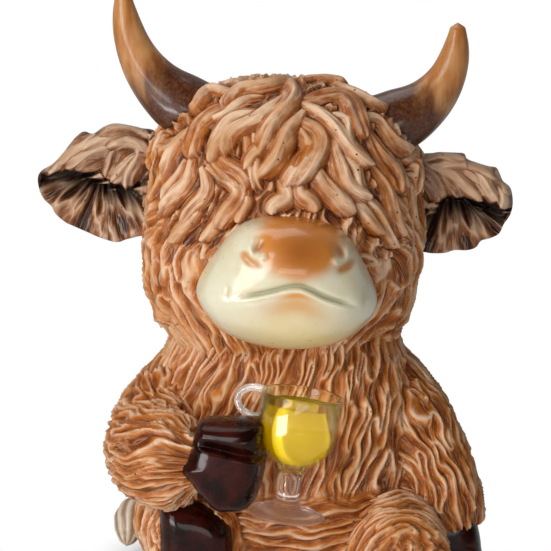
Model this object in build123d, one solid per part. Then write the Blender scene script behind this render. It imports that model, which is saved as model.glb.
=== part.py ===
"""Long-haired cow figurine, seated upright with a stemmed glass of lemon drink glued to one front hoof.

Hand-assembled resin castings that locate on round spigots, a clear moulded glass, a cast drink and a felt pad.
Millimetres, +Z up, and the figure faces -Y. The origin is the middle of the felt's underside.
Left and right are the animal's own, so its right side lies on -X.
"""

from build123d import *
import math
import os

# Fits that every glued joint shares
GLUE_GAP = 0.1
SPIGOT_RADIUS = 2.2
SPIGOT_LENGTH = 4.0
SPIGOT_ROOT = 3.0
OVERRUN = 8.0

# Felt, base plug and the hollow core of the body
FELT_THICKNESS = 1.0
FELT_MARGIN = 2.5
PLUG_THICKNESS = 4.0
PLUG_LEDGE = 2.5
CORE_WALL = 9.0
CORE_HEIGHT = 24.0
core_top_share = 0.7

# Body: sections as shares of its height, width, depth and forward lean at the neck
TORSO_WIDTH = 62.0
TORSO_DEPTH = 54.0
TORSO_HEIGHT = 51.5
TORSO_LEAN = 4.0
torso_section_shares = [
    (0.00, 0.92, 0.94, 0.0),
    (0.22, 1.00, 1.00, 0.1),
    (0.50, 0.99, 0.96, 0.4),
    (0.78, 0.91, 0.86, 0.8),
    (1.00, 0.77, 0.77, 1.0),
]

# Head: a rounded block about its middle, with a domed crown and cheeks drawn in towards the neck
HEAD_WIDTH = 57.0
HEAD_DEPTH = 53.0
HEAD_CROWN_RISE = 26.8
HEAD_JAW_REACH = 41.0
HEAD_NECK_DROP = 28.5
HEAD_ROUNDNESS = 2.5
HEAD_ROLL = 4.0
NECK_SPIGOT_RADIUS = 9.0
NECK_SPIGOT_LENGTH = 7.0
head_level_shares = [-1.0, -0.72, -0.4, 0.0, 0.3, 0.55, 0.75, 0.89, 0.965, 0.995]

# Forelock: leaf-shaped locks, by the angles above the head's middle and the bearings of their roots and tips
FORELOCK_WIDTH = 6.6
forelock_root_angles = [
    (83, -23), (57, -52), (45, -43), (43, -22), (54, -9), (75, -5), (43, 3), (39, 9), (51, 12), (61, 21),
    (74, 74), (46, 48), (32, 43), (30, 19), (16, 12), (11, 5), (9, -1), (19, -33), (13, -46), (9, -37),
    (11, -27), (30, -53), (16, -67), (15, 42), (17, 59), (8, 46), (7, 28), (35, -11),
]
forelock_tip_angles = [
    (45, -41), (40, -64), (16, -46), (15, -34), (20, -28), (21, -12), (12, -11), (10, 0), (19, 38), (32, 37),
    (49, 75), (25, 71), (8, 54), (6, 36), (1, 28), (1, 11), (0, -5), (6, -17), (-2, -62), (-3, -46),
    (-2, -28), (2, -72), (-1, -85), (-2, 59), (1, 80), (-4, 75), (-1, 45), (14, -18),
]
FORELOCK_EDGE_ANGLE = 64.0

# Coat of the head and body: rows of wider locks, as angles or height shares from root to tip, counts and staggers
LOCK_WIDTH = 8.6
BODY_LOCK_WIDTH = 4.4
LOCK_CLEARANCE = 1.0
LOCK_HEIGHT = 1.9
LOCK_SINK = 1.6
LOCK_LIFT = 1.1
LOCK_SWAY = 9.0
LOCK_SWAY_TURN = 137.5
lock_row_angles = [(86, 46), (65, 27), (45, 7), (25, -15), (4, -36)]
lock_row_counts = [8, 13, 16, 17, 17]
lock_stagger_shares = [0.17, 0.57, 0.08, 0.55, 0.03]
lock_station_shares = [(0.0, 0.5, 0.3), (0.35, 1.0, 0.9), (0.72, 0.78, 1.0), (1.0, 0.16, 0.5)]
body_lock_shares = [(0.93, 0.55), (0.68, 0.31), (0.43, 0.07)]
body_lock_counts = [20, 22, 23]
body_lock_stagger_shares = [0.21, 0.67, 0.11]
limb_check_count = 16
lock_section_shares = [(-0.5, 0.0), (-0.3, 0.78), (0.0, 1.0), (0.3, 0.78), (0.5, 0.0)]

# Muzzle: front outline, how far it stands off the face, and how deep it is let in
MUZZLE_WIDTH = 37.6
MUZZLE_HEIGHT = 28.2
MUZZLE_PROUD = 13.5
MUZZLE_SEAT = 6.0
MUZZLE_DROP = 13.4
MUZZLE_SIDE = 1.5
MUZZLE_FACE_ANGLE = 46.0
muzzle_outline_shares = [
    (0.00, 0.50),
    (0.26, 0.42),
    (0.41, 0.18),
    (0.50, -0.08),
    (0.45, -0.26),
    (0.29, -0.43),
    (0.00, -0.50),
]
muzzle_swell_shares = [(0.0, 0.96), (0.3, 1.0), (0.62, 0.92), (0.85, 0.7), (1.0, 0.34)]
MOUTH_WIDTH = 25.5
MOUTH_ARCH = 3.6
MOUTH_DROP = 3.4
MOUTH_GAP = 0.7
MOUTH_DEPTH = 1.0
NOSTRIL_SPREAD = 20.0
NOSTRIL_RISE = 6.4
NOSTRIL_LENGTH = 5.2
NOSTRIL_WIDTH = 2.6
NOSTRIL_SETBACK = 6.0
NOSTRIL_SLANT = 38.0

# Horns: flared where they leave the coat, bent outwards and then up, the two not quite alike
HORN_BASE_RADIUS = 7.0
HORN_TIP_RADIUS = 1.1
HORN_ROOT_OUT = 18.5
HORN_ROOT_RISE = 18.0
HORN_BEND_OUT = 36.5
HORN_BEND_RISE = 24.0
HORN_TIP_FORWARD = 2.0
RIGHT_HORN_TIP_OUT = 38.0
RIGHT_HORN_TIP_RISE = 44.5
LEFT_HORN_TIP_OUT = 34.4
LEFT_HORN_TIP_RISE = 42.0
horn_radius_shares = [(0.0, 1.0), (0.18, 0.98), (0.36, 0.79), (0.62, 0.58), (0.8, 0.45), (0.93, 0.3)]

# Ears: a drooping leaf with its hollow to the front
RIGHT_EAR_LENGTH = 29.5
LEFT_EAR_LENGTH = 25.0
RIGHT_EAR_HEIGHT = 26.6
LEFT_EAR_HEIGHT = 22.5
EAR_THICKNESS = 11.0
EAR_ROOT_OUT = 25.0
EAR_RISE = 3.6
EAR_BACK = 1.0
EAR_DROOP = 4.0
EAR_HOLLOW_DEPTH = 6.0
ear_section_shares = [(0.0, 0.7, 0.7), (0.28, 0.98, 1.0), (0.55, 0.95, 0.95), (0.82, 0.66, 0.7), (1.0, 0.3, 0.36)]
ear_hollow_share = 0.72
ear_hollow_place_share = 0.58

# Limbs: points as shares of the body's width, depth and height, and the ways they set off and end
ARM_RADIUS = 10.2
LEG_RADIUS = 10.4
arm_radius_shares = [(0.0, 0.88), (0.3, 1.0), (0.55, 0.98), (0.8, 0.92), (1.0, 0.82)]
leg_radius_shares = [(0.0, 0.9), (0.35, 1.02), (0.7, 0.98), (1.0, 0.88)]
right_arm_point_shares = [(-0.30, -0.050, 0.812), (-0.445, -0.315, 0.585), (-0.29, -0.690, 0.573)]
left_arm_point_shares = [(0.30, -0.055, 0.816), (0.455, -0.130, 0.534), (0.553, -0.176, 0.272)]
right_leg_point_shares = [(-0.29, 0.037, 0.223), (-0.347, -0.240, 0.236), (-0.30, -0.520, 0.222)]
left_leg_point_shares = [(0.282, 0.037, 0.205), (0.347, -0.240, 0.190), (0.406, -0.555, 0.122)]
RIGHT_ARM_AIMS = [(-0.45, -0.45, -0.5), (1.0, -0.16, 0.0)]
LEFT_ARM_AIMS = [(0.6, -0.2, -0.6), (0.16, -0.1, -1.0)]
RIGHT_LEG_AIMS = [(-0.3, -1.0, 0.0), (0.05, -1.0, 0.03)]
LEFT_LEG_AIMS = [(0.4, -1.0, 0.0), (0.14, -1.0, -0.12)]

# Hooves: across the toes, from heel to front, and along the toe
FRONT_HOOF_SPREAD = 19.6
FRONT_HOOF_BREADTH = 14.0
FRONT_HOOF_LENGTH = 14.0
GROUND_HOOF_SPREAD = 15.0
GROUND_HOOF_BREADTH = 15.0
GROUND_HOOF_LENGTH = 12.4
HIND_HOOF_SPREAD = 15.4
HIND_HOOF_BREADTH = 18.0
LOW_HOOF_BREADTH = 11.0
HIND_HOOF_LENGTH = 6.6
HOOF_CORNER = 4.6
HOOF_EDGE = 2.2
HOOF_CLEFT_WIDTH = 1.6
HOOF_CLEFT_DEPTH = 2.2
hoof_cleft_place_share = 0.17
hoof_coronet_share = 0.88

# Tail round the right haunch: bearings from the back of the body and shares of its height, then the tuft
TAIL_RADIUS = 3.0
TAIL_SPIGOT_RADIUS = 1.3
tail_bearing_angles = [4, 28, 54, 70]
tail_level_shares = [0.22, 0.13, 0.12, 0.14]
tail_standoff_shares = [-0.9, 0.75, 0.8, 0.85]
TUFT_REACH = 11.0
TUFT_RISE = 5.0
TUFT_OUT = 2.4
TUFT_AIM = (0.1, -1.0, 0.5)
tail_radius_shares = [(0.0, 1.1), (0.5, 0.95), (1.0, 0.85)]
tuft_radius_shares = [(0.0, 0.85), (0.3, 1.4), (0.65, 1.3), (1.0, 0.5)]

# Stemmed glass against the sole of the right front hoof, with its rod handle
GLASS_TILT = 8.0
GLASS_BITE = 2.2
GLASS_SINK = 10.8
GLASS_FORWARD = -1.8
GLASS_FOOT_DIAMETER = 16.4
GLASS_FOOT_EDGE = 0.9
GLASS_FOOT_RISE = 3.4
GLASS_STEM_DIAMETER = 4.6
GLASS_STEM_LENGTH = 6.0
GLASS_RIM_DIAMETER = 17.6
GLASS_TAPER = 0.5
GLASS_BOWL_HEIGHT = 15.8
GLASS_WALL = 0.8
glass_flare_share = 0.3
HANDLE_ROD_DIAMETER = 1.2
HANDLE_REACH = 5.0
HANDLE_TOP_DROP = 0.9
HANDLE_SPAN = 5.0
HANDLE_TURN = 38.0

# Cast drink and the lemon slice that breaks its surface
DRINK_DROP = 3.8
LEMON_DIAMETER = 10.8
LEMON_THICKNESS = 2.2
LEMON_PROUD = 0.5
LEMON_TURN = 28.0
LEMON_LEAN = 12.0

SIDES = {"right": -1, "left": 1}
UP = (0, 0, 1)
FRONT = (0, -1, 0)
ACROSS = (1, 0, 0)


def station(path, share, reference):
    """A plane square to a path, turned to a fixed reference so that sections don't twist."""
    return Plane(origin=path @ share, x_dir=reference, z_dir=path % share)


def tapered(path, radius, shares, reference):
    """A round form whose radius swells and narrows along its path."""
    return loft([station(path, place, reference) * Circle(radius * share) for place, share in shares])


def spigot(joint, radius=SPIGOT_RADIUS, length=SPIGOT_LENGTH, root=SPIGOT_ROOT):
    """A round peg, from its root in its own casting back past the joint into the casting that carries it."""
    peg = Cylinder(radius, length + root, align=(Align.CENTER, Align.CENTER, Align.MIN))
    return joint * Pos(0, 0, -length) * peg


def socket(joint, radius=SPIGOT_RADIUS, length=SPIGOT_LENGTH, root=SPIGOT_ROOT):
    """The hole that a spigot is glued into."""
    return spigot(joint, radius + GLUE_GAP, length + GLUE_GAP, root)


# Body

def torso_size(share):
    """Half width, half depth and lean of the body at a share of its height."""
    for low, high in zip(torso_section_shares, torso_section_shares[1:]):
        if share <= high[0] or high is torso_section_shares[-1]:
            blend = (share - low[0]) / (high[0] - low[0])
            width, depth, lean = (a + (b - a) * blend for a, b in zip(low[1:], high[1:]))
            return TORSO_WIDTH / 2 * width, TORSO_DEPTH / 2 * depth, -TORSO_LEAN * lean


def body_point(shares):
    """A point given as shares of the body's width, depth and height."""
    x, y, z = shares
    return Vector(TORSO_WIDTH * x, TORSO_DEPTH * y, FELT_THICKNESS + TORSO_HEIGHT * z)


def inside_body(point):
    """Whether a point lies within the body's ellipse at its own height."""
    half_width, half_depth, lean = torso_size((point.Z - FELT_THICKNESS) / TORSO_HEIGHT)
    return (point.X / half_width) ** 2 + ((point.Y - lean) / half_depth) ** 2 < 1


def body_joint(path):
    """The place on a path where it comes out of the body, found by halving."""
    inner, outer = 0.0, 1.0
    while outer - inner > GLUE_GAP / path.length:
        middle = (inner + outer) / 2
        if inside_body(path @ middle):
            inner = middle
        else:
            outer = middle
    return path ^ outer


neck_middle = Vector(0, -TORSO_LEAN, FELT_THICKNESS + TORSO_HEIGHT)
head_place = Location(neck_middle + Vector(0, 0, HEAD_NECK_DROP)) * Rot(0, HEAD_ROLL, 0)
neck_joint = head_place * Pos(0, 0, -HEAD_NECK_DROP)


def torso_form():
    """The outside of the body, from its flat base up to the neck joint."""
    sections = []
    for share, *_ in torso_section_shares[:-1]:
        half_width, half_depth, lean = torso_size(share)
        level = Pos(0, lean, FELT_THICKNESS + TORSO_HEIGHT * share)
        sections.append(level * Ellipse(half_width, half_depth))
    half_width, half_depth, _ = torso_size(1)
    sections.append(neck_joint * Ellipse(half_width, half_depth))
    return loft(sections)


def base_ellipse(inset):
    """The outline of the flat base, drawn in all round."""
    half_width, half_depth, _ = torso_size(0)
    return Ellipse(half_width - inset, half_depth - inset)


def hollow_core():
    """The cast-in hollow, open below, with a ledge that the plug seats on."""
    half_width, half_depth, _ = torso_size(0)
    top = Ellipse((half_width - CORE_WALL) * core_top_share, (half_depth - CORE_WALL) * core_top_share)
    bottom = Pos(0, 0, FELT_THICKNESS)
    core = loft([bottom * base_ellipse(CORE_WALL), bottom * Pos(0, 0, CORE_HEIGHT) * top])
    recess = bottom * extrude(base_ellipse(CORE_WALL - PLUG_LEDGE), PLUG_THICKNESS + GLUE_GAP)
    return core + recess


def base_plug():
    """The resin plug that closes the hollow, flush with the base."""
    outline = base_ellipse(CORE_WALL - PLUG_LEDGE + GLUE_GAP)
    return Pos(0, 0, FELT_THICKNESS) * extrude(outline, PLUG_THICKNESS)


def felt_pad():
    """The felt glued under the body."""
    return extrude(base_ellipse(FELT_MARGIN), FELT_THICKNESS)


# Head

def head_size(level):
    """Half width and half depth of the head at a height from its middle."""
    reach = HEAD_CROWN_RISE if level > 0 else HEAD_JAW_REACH
    share = (1 - (abs(level) / reach) ** HEAD_ROUNDNESS) ** (1 / HEAD_ROUNDNESS)
    return HEAD_WIDTH / 2 * share, HEAD_DEPTH / 2 * share


def head_form():
    """The head as a stack of ellipses, flat at the neck joint."""
    sections = []
    for share in head_level_shares:
        level = share * (HEAD_CROWN_RISE if share > 0 else HEAD_NECK_DROP)
        sections.append(Pos(0, 0, level) * Ellipse(*head_size(level)))
    return loft(sections)


def head_frame(angle, bearing):
    """Point, outward way and sideways way on the head, by angle above its middle and bearing from the face."""
    level = math.copysign(abs(math.sin(math.radians(angle))) ** (2 / HEAD_ROUNDNESS), angle)
    reach = HEAD_CROWN_RISE if angle > 0 else HEAD_JAW_REACH
    half_width, half_depth = head_size(level * reach)
    x = math.sin(math.radians(bearing))
    y = -math.cos(math.radians(bearing))
    point = Vector(half_width * x, half_depth * y, level * reach)
    steepness = (half_width / HEAD_WIDTH * 2) ** (HEAD_ROUNDNESS - 1) / HEAD_WIDTH * 2
    rise = math.copysign(abs(level) ** (HEAD_ROUNDNESS - 1), angle) / reach
    return point, Vector(x * steepness, y * steepness, rise).normalized(), Vector(-y, x, 0)


def lock_solid(frame, root, tip, bearing, sway, full_width):
    """One leaf-shaped lock lying down a form, faceted, swinging aside and lifting off towards its tip."""
    wires = []
    for share, width, height in lock_station_shares:
        point, out, side = frame(root + (tip - root) * share, bearing + sway * share**2)
        base = point + out * (LOCK_LIFT * share**2 - LOCK_SINK)
        crest = LOCK_SINK + LOCK_HEIGHT * height
        corners = [base + side * (full_width * width * a) + out * (crest * b) for a, b in lock_section_shares]
        wires.append(Wire.make_polygon(corners))
    return Solid.make_loft(wires, True)


def head_locks():
    """The forelock one by one, then staggered rows round the rest of the head, the lowest of them up to the muzzle."""
    locks = []
    for (root, bearing), (tip, tip_bearing) in zip(forelock_root_angles, forelock_tip_angles):
        locks.append(lock_solid(head_frame, root, tip, bearing, tip_bearing - bearing, FORELOCK_WIDTH))
    for (root, tip), count, stagger in zip(lock_row_angles, lock_row_counts, lock_stagger_shares):
        for index in range(count):
            bearing = 360 * (index + stagger) / count
            sway = LOCK_SWAY * math.sin(math.radians(LOCK_SWAY_TURN * len(locks)))
            edge = MUZZLE_FACE_ANGLE if (root, tip) == lock_row_angles[-1] else FORELOCK_EDGE_ANGLE
            if abs((bearing + 180) % 360 - 180) > edge:
                locks.append(lock_solid(head_frame, root, tip, bearing, sway, LOCK_WIDTH))
    return locks


# Muzzle

def muzzle_section(size_share):
    """The front outline of the muzzle at one size."""
    half = [(x * MUZZLE_WIDTH * size_share, z * MUZZLE_HEIGHT * size_share) for x, z in muzzle_outline_shares]
    other_half = [(-x, z) for x, z in reversed(half[1:-1])]
    return make_face(Spline(*half, *other_half, periodic=True))


def muzzle_form(inset):
    """The muzzle from its seat in the face to the nose, drawn in all over by an inset."""
    face = head_size(-MUZZLE_DROP)[1]
    shrink = 1 - 2 * inset / MUZZLE_HEIGHT
    sections = []
    for share, swell in muzzle_swell_shares:
        forward = face - MUZZLE_SEAT + (MUZZLE_SEAT + MUZZLE_PROUD - inset) * share
        level = Plane(origin=(MUZZLE_SIDE, -forward, -MUZZLE_DROP), x_dir=ACROSS, z_dir=FRONT)
        sections.append(level * muzzle_section(swell * shrink))
    return loft(sections)


def mouth_cutter():
    """The arched mouth line, cut to an even depth below the curved front."""
    front = Plane(origin=(MUZZLE_SIDE, 0, -MUZZLE_DROP - MOUTH_DROP), x_dir=ACROSS, z_dir=FRONT)
    ends = MOUTH_WIDTH / 2
    upper = ThreePointArc((-ends, 0), (0, MOUTH_ARCH + MOUTH_GAP / 2), (ends, 0))
    lower = ThreePointArc((ends, 0), (0, MOUTH_ARCH - MOUTH_GAP / 2), (-ends, 0))
    return extrude(front * make_face([upper, lower]), HEAD_DEPTH) - muzzle_form(MOUTH_DEPTH)


def nostril_cutter(side):
    """One nostril, slanted down and out, with its floor set back from the end of the nose."""
    floor = head_size(-MUZZLE_DROP)[1] + MUZZLE_PROUD - NOSTRIL_SETBACK
    middle = (MUZZLE_SIDE + side * NOSTRIL_SPREAD / 2, -floor, -MUZZLE_DROP + NOSTRIL_RISE)
    front = Plane(origin=middle, x_dir=ACROSS, z_dir=FRONT)
    slot = Rot(0, 0, -side * NOSTRIL_SLANT) * Ellipse(NOSTRIL_LENGTH / 2, NOSTRIL_WIDTH / 2)
    return extrude(front * slot, NOSTRIL_SETBACK)


# Horns and ears, in the head's frame

horn_tips = {
    "right": (RIGHT_HORN_TIP_OUT, RIGHT_HORN_TIP_RISE),
    "left": (LEFT_HORN_TIP_OUT, LEFT_HORN_TIP_RISE),
}


def horn_form(name, grow):
    """A tapering horn with a rounded tip, its root let into the head, grown all round for its seat."""
    side = SIDES[name]
    tip_out, tip_rise = horn_tips[name]
    root = (side * HORN_ROOT_OUT, 0, HORN_ROOT_RISE)
    bend = (side * HORN_BEND_OUT, 0, HORN_BEND_RISE)
    path = Bezier(root, bend, (side * tip_out, -HORN_TIP_FORWARD, tip_rise))
    radius = HORN_BASE_RADIUS + grow
    cone = tapered(path, radius, horn_radius_shares + [(1.0, HORN_TIP_RADIUS / radius)], (0, 1, 0))
    return cone + Location(path @ 1) * Sphere(HORN_TIP_RADIUS)


ear_sizes = {"right": (RIGHT_EAR_LENGTH, RIGHT_EAR_HEIGHT), "left": (LEFT_EAR_LENGTH, LEFT_EAR_HEIGHT)}


def ear_path(name):
    """The middle line of an ear, from inside the head out to its tip."""
    length, _ = ear_sizes[name]
    root = (SIDES[name] * EAR_ROOT_OUT, EAR_BACK, EAR_RISE)
    tip = (SIDES[name] * (EAR_ROOT_OUT + length), EAR_BACK, EAR_RISE - EAR_DROOP)
    return Line(root, tip)


def ear_form(name, grow):
    """A leaf-shaped ear before it is hollowed, grown all round for its seat."""
    path = ear_path(name)
    _, full_height = ear_sizes[name]
    sections = []
    for share, height, thickness in ear_section_shares:
        outline = Ellipse(full_height / 2 * height + grow, EAR_THICKNESS / 2 * thickness + grow)
        sections.append(station(path, share, UP) * outline)
    return loft(sections)


def ear_scoop(name):
    """The hollow in the front of an ear."""
    length, height = ear_sizes[name]
    size = (length / 2 * ear_hollow_share, EAR_HOLLOW_DEPTH, height / 2 * ear_hollow_share)
    middle = ear_path(name) @ ear_hollow_place_share - Vector(0, EAR_THICKNESS / 2, 0)
    return Location(middle) * scale(Sphere(1), by=size)


# Limbs and hooves

limb_routes = {
    "right_arm": (right_arm_point_shares, RIGHT_ARM_AIMS),
    "left_arm": (left_arm_point_shares, LEFT_ARM_AIMS),
    "right_leg": (right_leg_point_shares, RIGHT_LEG_AIMS),
    "left_leg": (left_leg_point_shares, LEFT_LEG_AIMS),
}
limb_paths = {}
for name, (points, aims) in limb_routes.items():
    limb_paths[name] = Spline(*[body_point(shares) for shares in points], tangents=aims)


def limb_form(name):
    """The outside of a limb, from inside the body to the joint with its hoof."""
    path = limb_paths[name]
    if name.endswith("arm"):
        return tapered(path, ARM_RADIUS, arm_radius_shares, FRONT if name == "left_arm" else UP)
    return tapered(path, LEG_RADIUS, leg_radius_shares, UP)


def hoof_joint(name, toes):
    """The joint between a limb and its hoof: +Z out of the limb, +X across the two toes."""
    path = limb_paths[name]
    return Plane(origin=path @ 1, x_dir=toes, z_dir=path % 1)


def hoof_form(spread, breadth, length):
    """A cloven hoof along +Z from its coronet to its sole, with a V cleft down its front and over its sole."""
    coronet = RectangleRounded(spread * hoof_coronet_share, breadth * hoof_coronet_share, HOOF_CORNER)
    sole = Pos(0, 0, length) * RectangleRounded(spread, breadth, HOOF_CORNER)
    block = loft([coronet, sole])
    block = fillet(block.faces().sort_by(Axis.Z)[-1].edges(), HOOF_EDGE)
    notch = make_face(
        Polyline(
            (-HOOF_CLEFT_WIDTH, HOOF_CLEFT_DEPTH),
            (0, -HOOF_CLEFT_DEPTH),
            (HOOF_CLEFT_WIDTH, HOOF_CLEFT_DEPTH),
            close=True,
        )
    )
    place = Pos(spread * hoof_cleft_place_share, 0, 0)
    front_cleft = place * Pos(0, breadth / 2, 0) * extrude(notch, length + OVERRUN)
    sole_cleft = place * Pos(0, 0, length) * Rot(90, 0, 0) * extrude(notch, breadth, both=True)
    return block - front_cleft - sole_cleft


# Tail

def tail_point(bearing, level_share, standoff_share):
    """A point off the body's side, by bearing from its back, share of its height and share of the tail's radius."""
    half_width, half_depth, lean = torso_size(level_share)
    turn = math.radians(bearing)
    standoff = TAIL_RADIUS * standoff_share
    x = -(half_width + standoff) * math.sin(turn)
    return Vector(x, lean + (half_depth + standoff) * math.cos(turn), FELT_THICKNESS + TORSO_HEIGHT * level_share)


tail_points = [tail_point(*row) for row in zip(tail_bearing_angles, tail_level_shares, tail_standoff_shares)]
tail_path = Spline(*tail_points)
tuft_tip = tail_points[-1] + Vector(-TUFT_OUT, -TUFT_REACH, TUFT_RISE)
tuft_path = Spline(tail_points[-1], tuft_tip, tangents=[tail_path % 1, TUFT_AIM])

# Coat of the body

def body_frame(share, bearing):
    """Point, outward way and sideways way on the body, by share of its height and bearing from the chest."""
    half_width, half_depth, lean = torso_size(share)
    x = math.sin(math.radians(bearing))
    y = -math.cos(math.radians(bearing))
    point = Vector(half_width * x, lean + half_depth * y, FELT_THICKNESS + TORSO_HEIGHT * share)
    out = Vector(x / half_width, y / half_depth, 0).normalized()
    return point, out, Vector(-out.Y, out.X, 0)


def clear_of_limbs(point):
    """Whether a lock at a point keeps clear of the limbs and the tail."""
    runs = [(path, LEG_RADIUS) for path in limb_paths.values()]
    runs += [(tail_path, TAIL_RADIUS), (tuft_path, TAIL_RADIUS)]
    for path, radius in runs:
        for step in range(limb_check_count):
            middle = path @ (step / (limb_check_count - 1))
            if (middle - point).length < radius + BODY_LOCK_WIDTH / 2 + LOCK_CLEARANCE:
                return False
    return True


def body_locks():
    """The locks of the chest and back, in staggered rows that leave the limbs and the tail clear."""
    locks = []
    for (root, tip), count, stagger in zip(body_lock_shares, body_lock_counts, body_lock_stagger_shares):
        for index in range(count):
            bearing = 360 * (index + stagger) / count
            sway = LOCK_SWAY * math.sin(math.radians(LOCK_SWAY_TURN * index))
            places = [body_frame(root + (tip - root) * share, bearing)[0] for share, *_ in lock_station_shares]
            if all(clear_of_limbs(point) for point in places):
                locks.append(lock_solid(body_frame, root, tip, bearing, sway, BODY_LOCK_WIDTH))
    return locks


# Glass

stem_height = GLASS_FOOT_EDGE + GLASS_FOOT_RISE
bowl_height = stem_height + GLASS_STEM_LENGTH
rim_height = bowl_height + GLASS_BOWL_HEIGHT
drink_height = rim_height - DRINK_DROP

right_hoof_joint = hoof_joint("right_arm", UP)
glass_out = FRONT_HOOF_LENGTH + GLASS_RIM_DIAMETER / 2 - GLASS_BITE
glass_lean = math.tan(math.radians(GLASS_TILT)) * (bowl_height + GLASS_RIM_DIAMETER / 2)
glass_foot = right_hoof_joint.from_local_coords(Vector(-GLASS_SINK, GLASS_FORWARD, glass_out - glass_lean))
glass_place = Location(glass_foot) * Rot(0, GLASS_TILT, 0)


def bowl_solid(inset, top):
    """The bowl turned solid: a round bottom under a straight flaring side, drawn in and stopped at a height."""
    waist_radius = GLASS_RIM_DIAMETER / 2 - GLASS_TAPER
    waist_height = bowl_height + waist_radius
    low = bowl_height + inset
    half = math.sqrt(0.5)
    arc_middle = ((waist_radius - inset) * half, waist_height - (waist_height - low) * half)
    waist = (waist_radius - inset, waist_height)
    flare_share = (top - waist_height) / (rim_height - waist_height)
    edge = (waist_radius - inset + GLASS_TAPER * flare_share, top)
    outline = [
        ThreePointArc((0, low), arc_middle, waist),
        Line(waist, edge),
        Line(edge, (0, top)),
        Line((0, top), (0, low)),
    ]
    return revolve(Plane.XZ * make_face(outline), Axis.Z)


def stem_solid(grow):
    """The spreading foot and the stem, grown all round for the hoof's clearance."""
    radius = GLASS_STEM_DIAMETER / 2 + grow
    foot = GLASS_FOOT_DIAMETER / 2 + grow
    edge = GLASS_FOOT_EDGE + grow
    top = bowl_height + radius
    bow = (radius + (foot - radius) * glass_flare_share, edge + GLASS_FOOT_RISE * glass_flare_share)
    outline = [
        Line((0, -grow), (foot, -grow)),
        Line((foot, -grow), (foot, edge)),
        ThreePointArc((foot, edge), bow, (radius, stem_height + grow)),
        Line((radius, stem_height + grow), (radius, top)),
        Line((radius, top), (0, top)),
        Line((0, top), (0, -grow)),
    ]
    return revolve(Plane.XZ * make_face(outline), Axis.Z)


def glass_outside(grow):
    """The whole glass with its bowl filled in."""
    return stem_solid(grow) + bowl_solid(-grow, rim_height)


def glass_form():
    """The clear glass, open at the rim."""
    return glass_outside(0) - bowl_solid(GLASS_WALL, rim_height)


def handle_form():
    """A bent clear rod, from just under the rim out and back to the side of the bowl, behind the hoof."""
    wall = GLASS_RIM_DIAMETER / 2 - GLASS_WALL / 2
    top = rim_height - HANDLE_TOP_DROP
    middle = (wall + HANDLE_REACH, 0, top - HANDLE_SPAN / 2)
    path = ThreePointArc((wall, 0, top), middle, (wall - GLASS_TAPER, 0, top - HANDLE_SPAN))
    rod = sweep(Plane(origin=path @ 0, z_dir=path % 0) * Circle(HANDLE_ROD_DIAMETER / 2), path=path)
    return Rot(0, 0, 180 - HANDLE_TURN) * rod - glass_outside(0)


def lemon_form(grow):
    """A thick round slice of lemon that stands in the drink, grown all round for its seat."""
    middle = Pos(0, 0, drink_height + LEMON_PROUD - LEMON_DIAMETER / 2)
    turned = Rot(0, 0, LEMON_TURN) * Rot(90 + LEMON_LEAN, 0, 0)
    return middle * turned * Cylinder(LEMON_DIAMETER / 2 + grow, LEMON_THICKNESS + 2 * grow)


# Assembly: each casting is cut by the ones that carry it

floor_size = 4 * TORSO_WIDTH
floor_box = Box(floor_size, floor_size, floor_size, align=(Align.CENTER, Align.CENTER, Align.MAX))
floor = Pos(0, 0, FELT_THICKNESS) * floor_box
torso_outside = torso_form()
leg_outsides = {name: limb_form(name) for name in ("right_leg", "left_leg")}
limb_joints = {name: body_joint(path) for name, path in limb_paths.items()}
tail_joint = body_joint(tail_path)
tuft_joint = tail_path ^ 1

nodes = {"base_plug": base_plug(), "felt_pad": felt_pad()}

torso = torso_outside.fuse(*body_locks()) - hollow_core()
torso -= socket(neck_joint, NECK_SPIGOT_RADIUS, NECK_SPIGOT_LENGTH, OVERRUN)
for joint in limb_joints.values():
    torso -= socket(joint, root=OVERRUN)
nodes["torso"] = torso - socket(tail_joint, TAIL_SPIGOT_RADIUS, root=OVERRUN)

for name, side in SIDES.items():
    leg = leg_outsides[name + "_leg"]
    arm = limb_form(name + "_arm") - torso_outside - leg - floor
    nodes[name + "_leg"] = leg - torso_outside - floor + spigot(limb_joints[name + "_leg"])
    nodes[name + "_arm"] = arm + spigot(limb_joints[name + "_arm"])

hooves = {
    "right_front_hoof": ("right_arm", UP, FRONT_HOOF_SPREAD, FRONT_HOOF_BREADTH, FRONT_HOOF_LENGTH),
    "left_front_hoof": ("left_arm", ACROSS, GROUND_HOOF_SPREAD, GROUND_HOOF_BREADTH, GROUND_HOOF_LENGTH),
    "right_hind_hoof": ("right_leg", ACROSS, HIND_HOOF_SPREAD, HIND_HOOF_BREADTH, HIND_HOOF_LENGTH),
    "left_hind_hoof": ("left_leg", ACROSS, HIND_HOOF_SPREAD, LOW_HOOF_BREADTH, HIND_HOOF_LENGTH),
}
for name, (limb, toes, spread, breadth, length) in hooves.items():
    joint = hoof_joint(limb, toes)
    hoof = joint * hoof_form(spread, breadth, length) - torso_outside - floor
    if name == "left_front_hoof":
        hoof -= leg_outsides["left_leg"]
    if name == "right_front_hoof":
        hoof -= glass_place * glass_outside(GLUE_GAP)
    nodes[name] = hoof + spigot(joint.location)
    nodes[limb] -= socket(joint.location)

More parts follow.
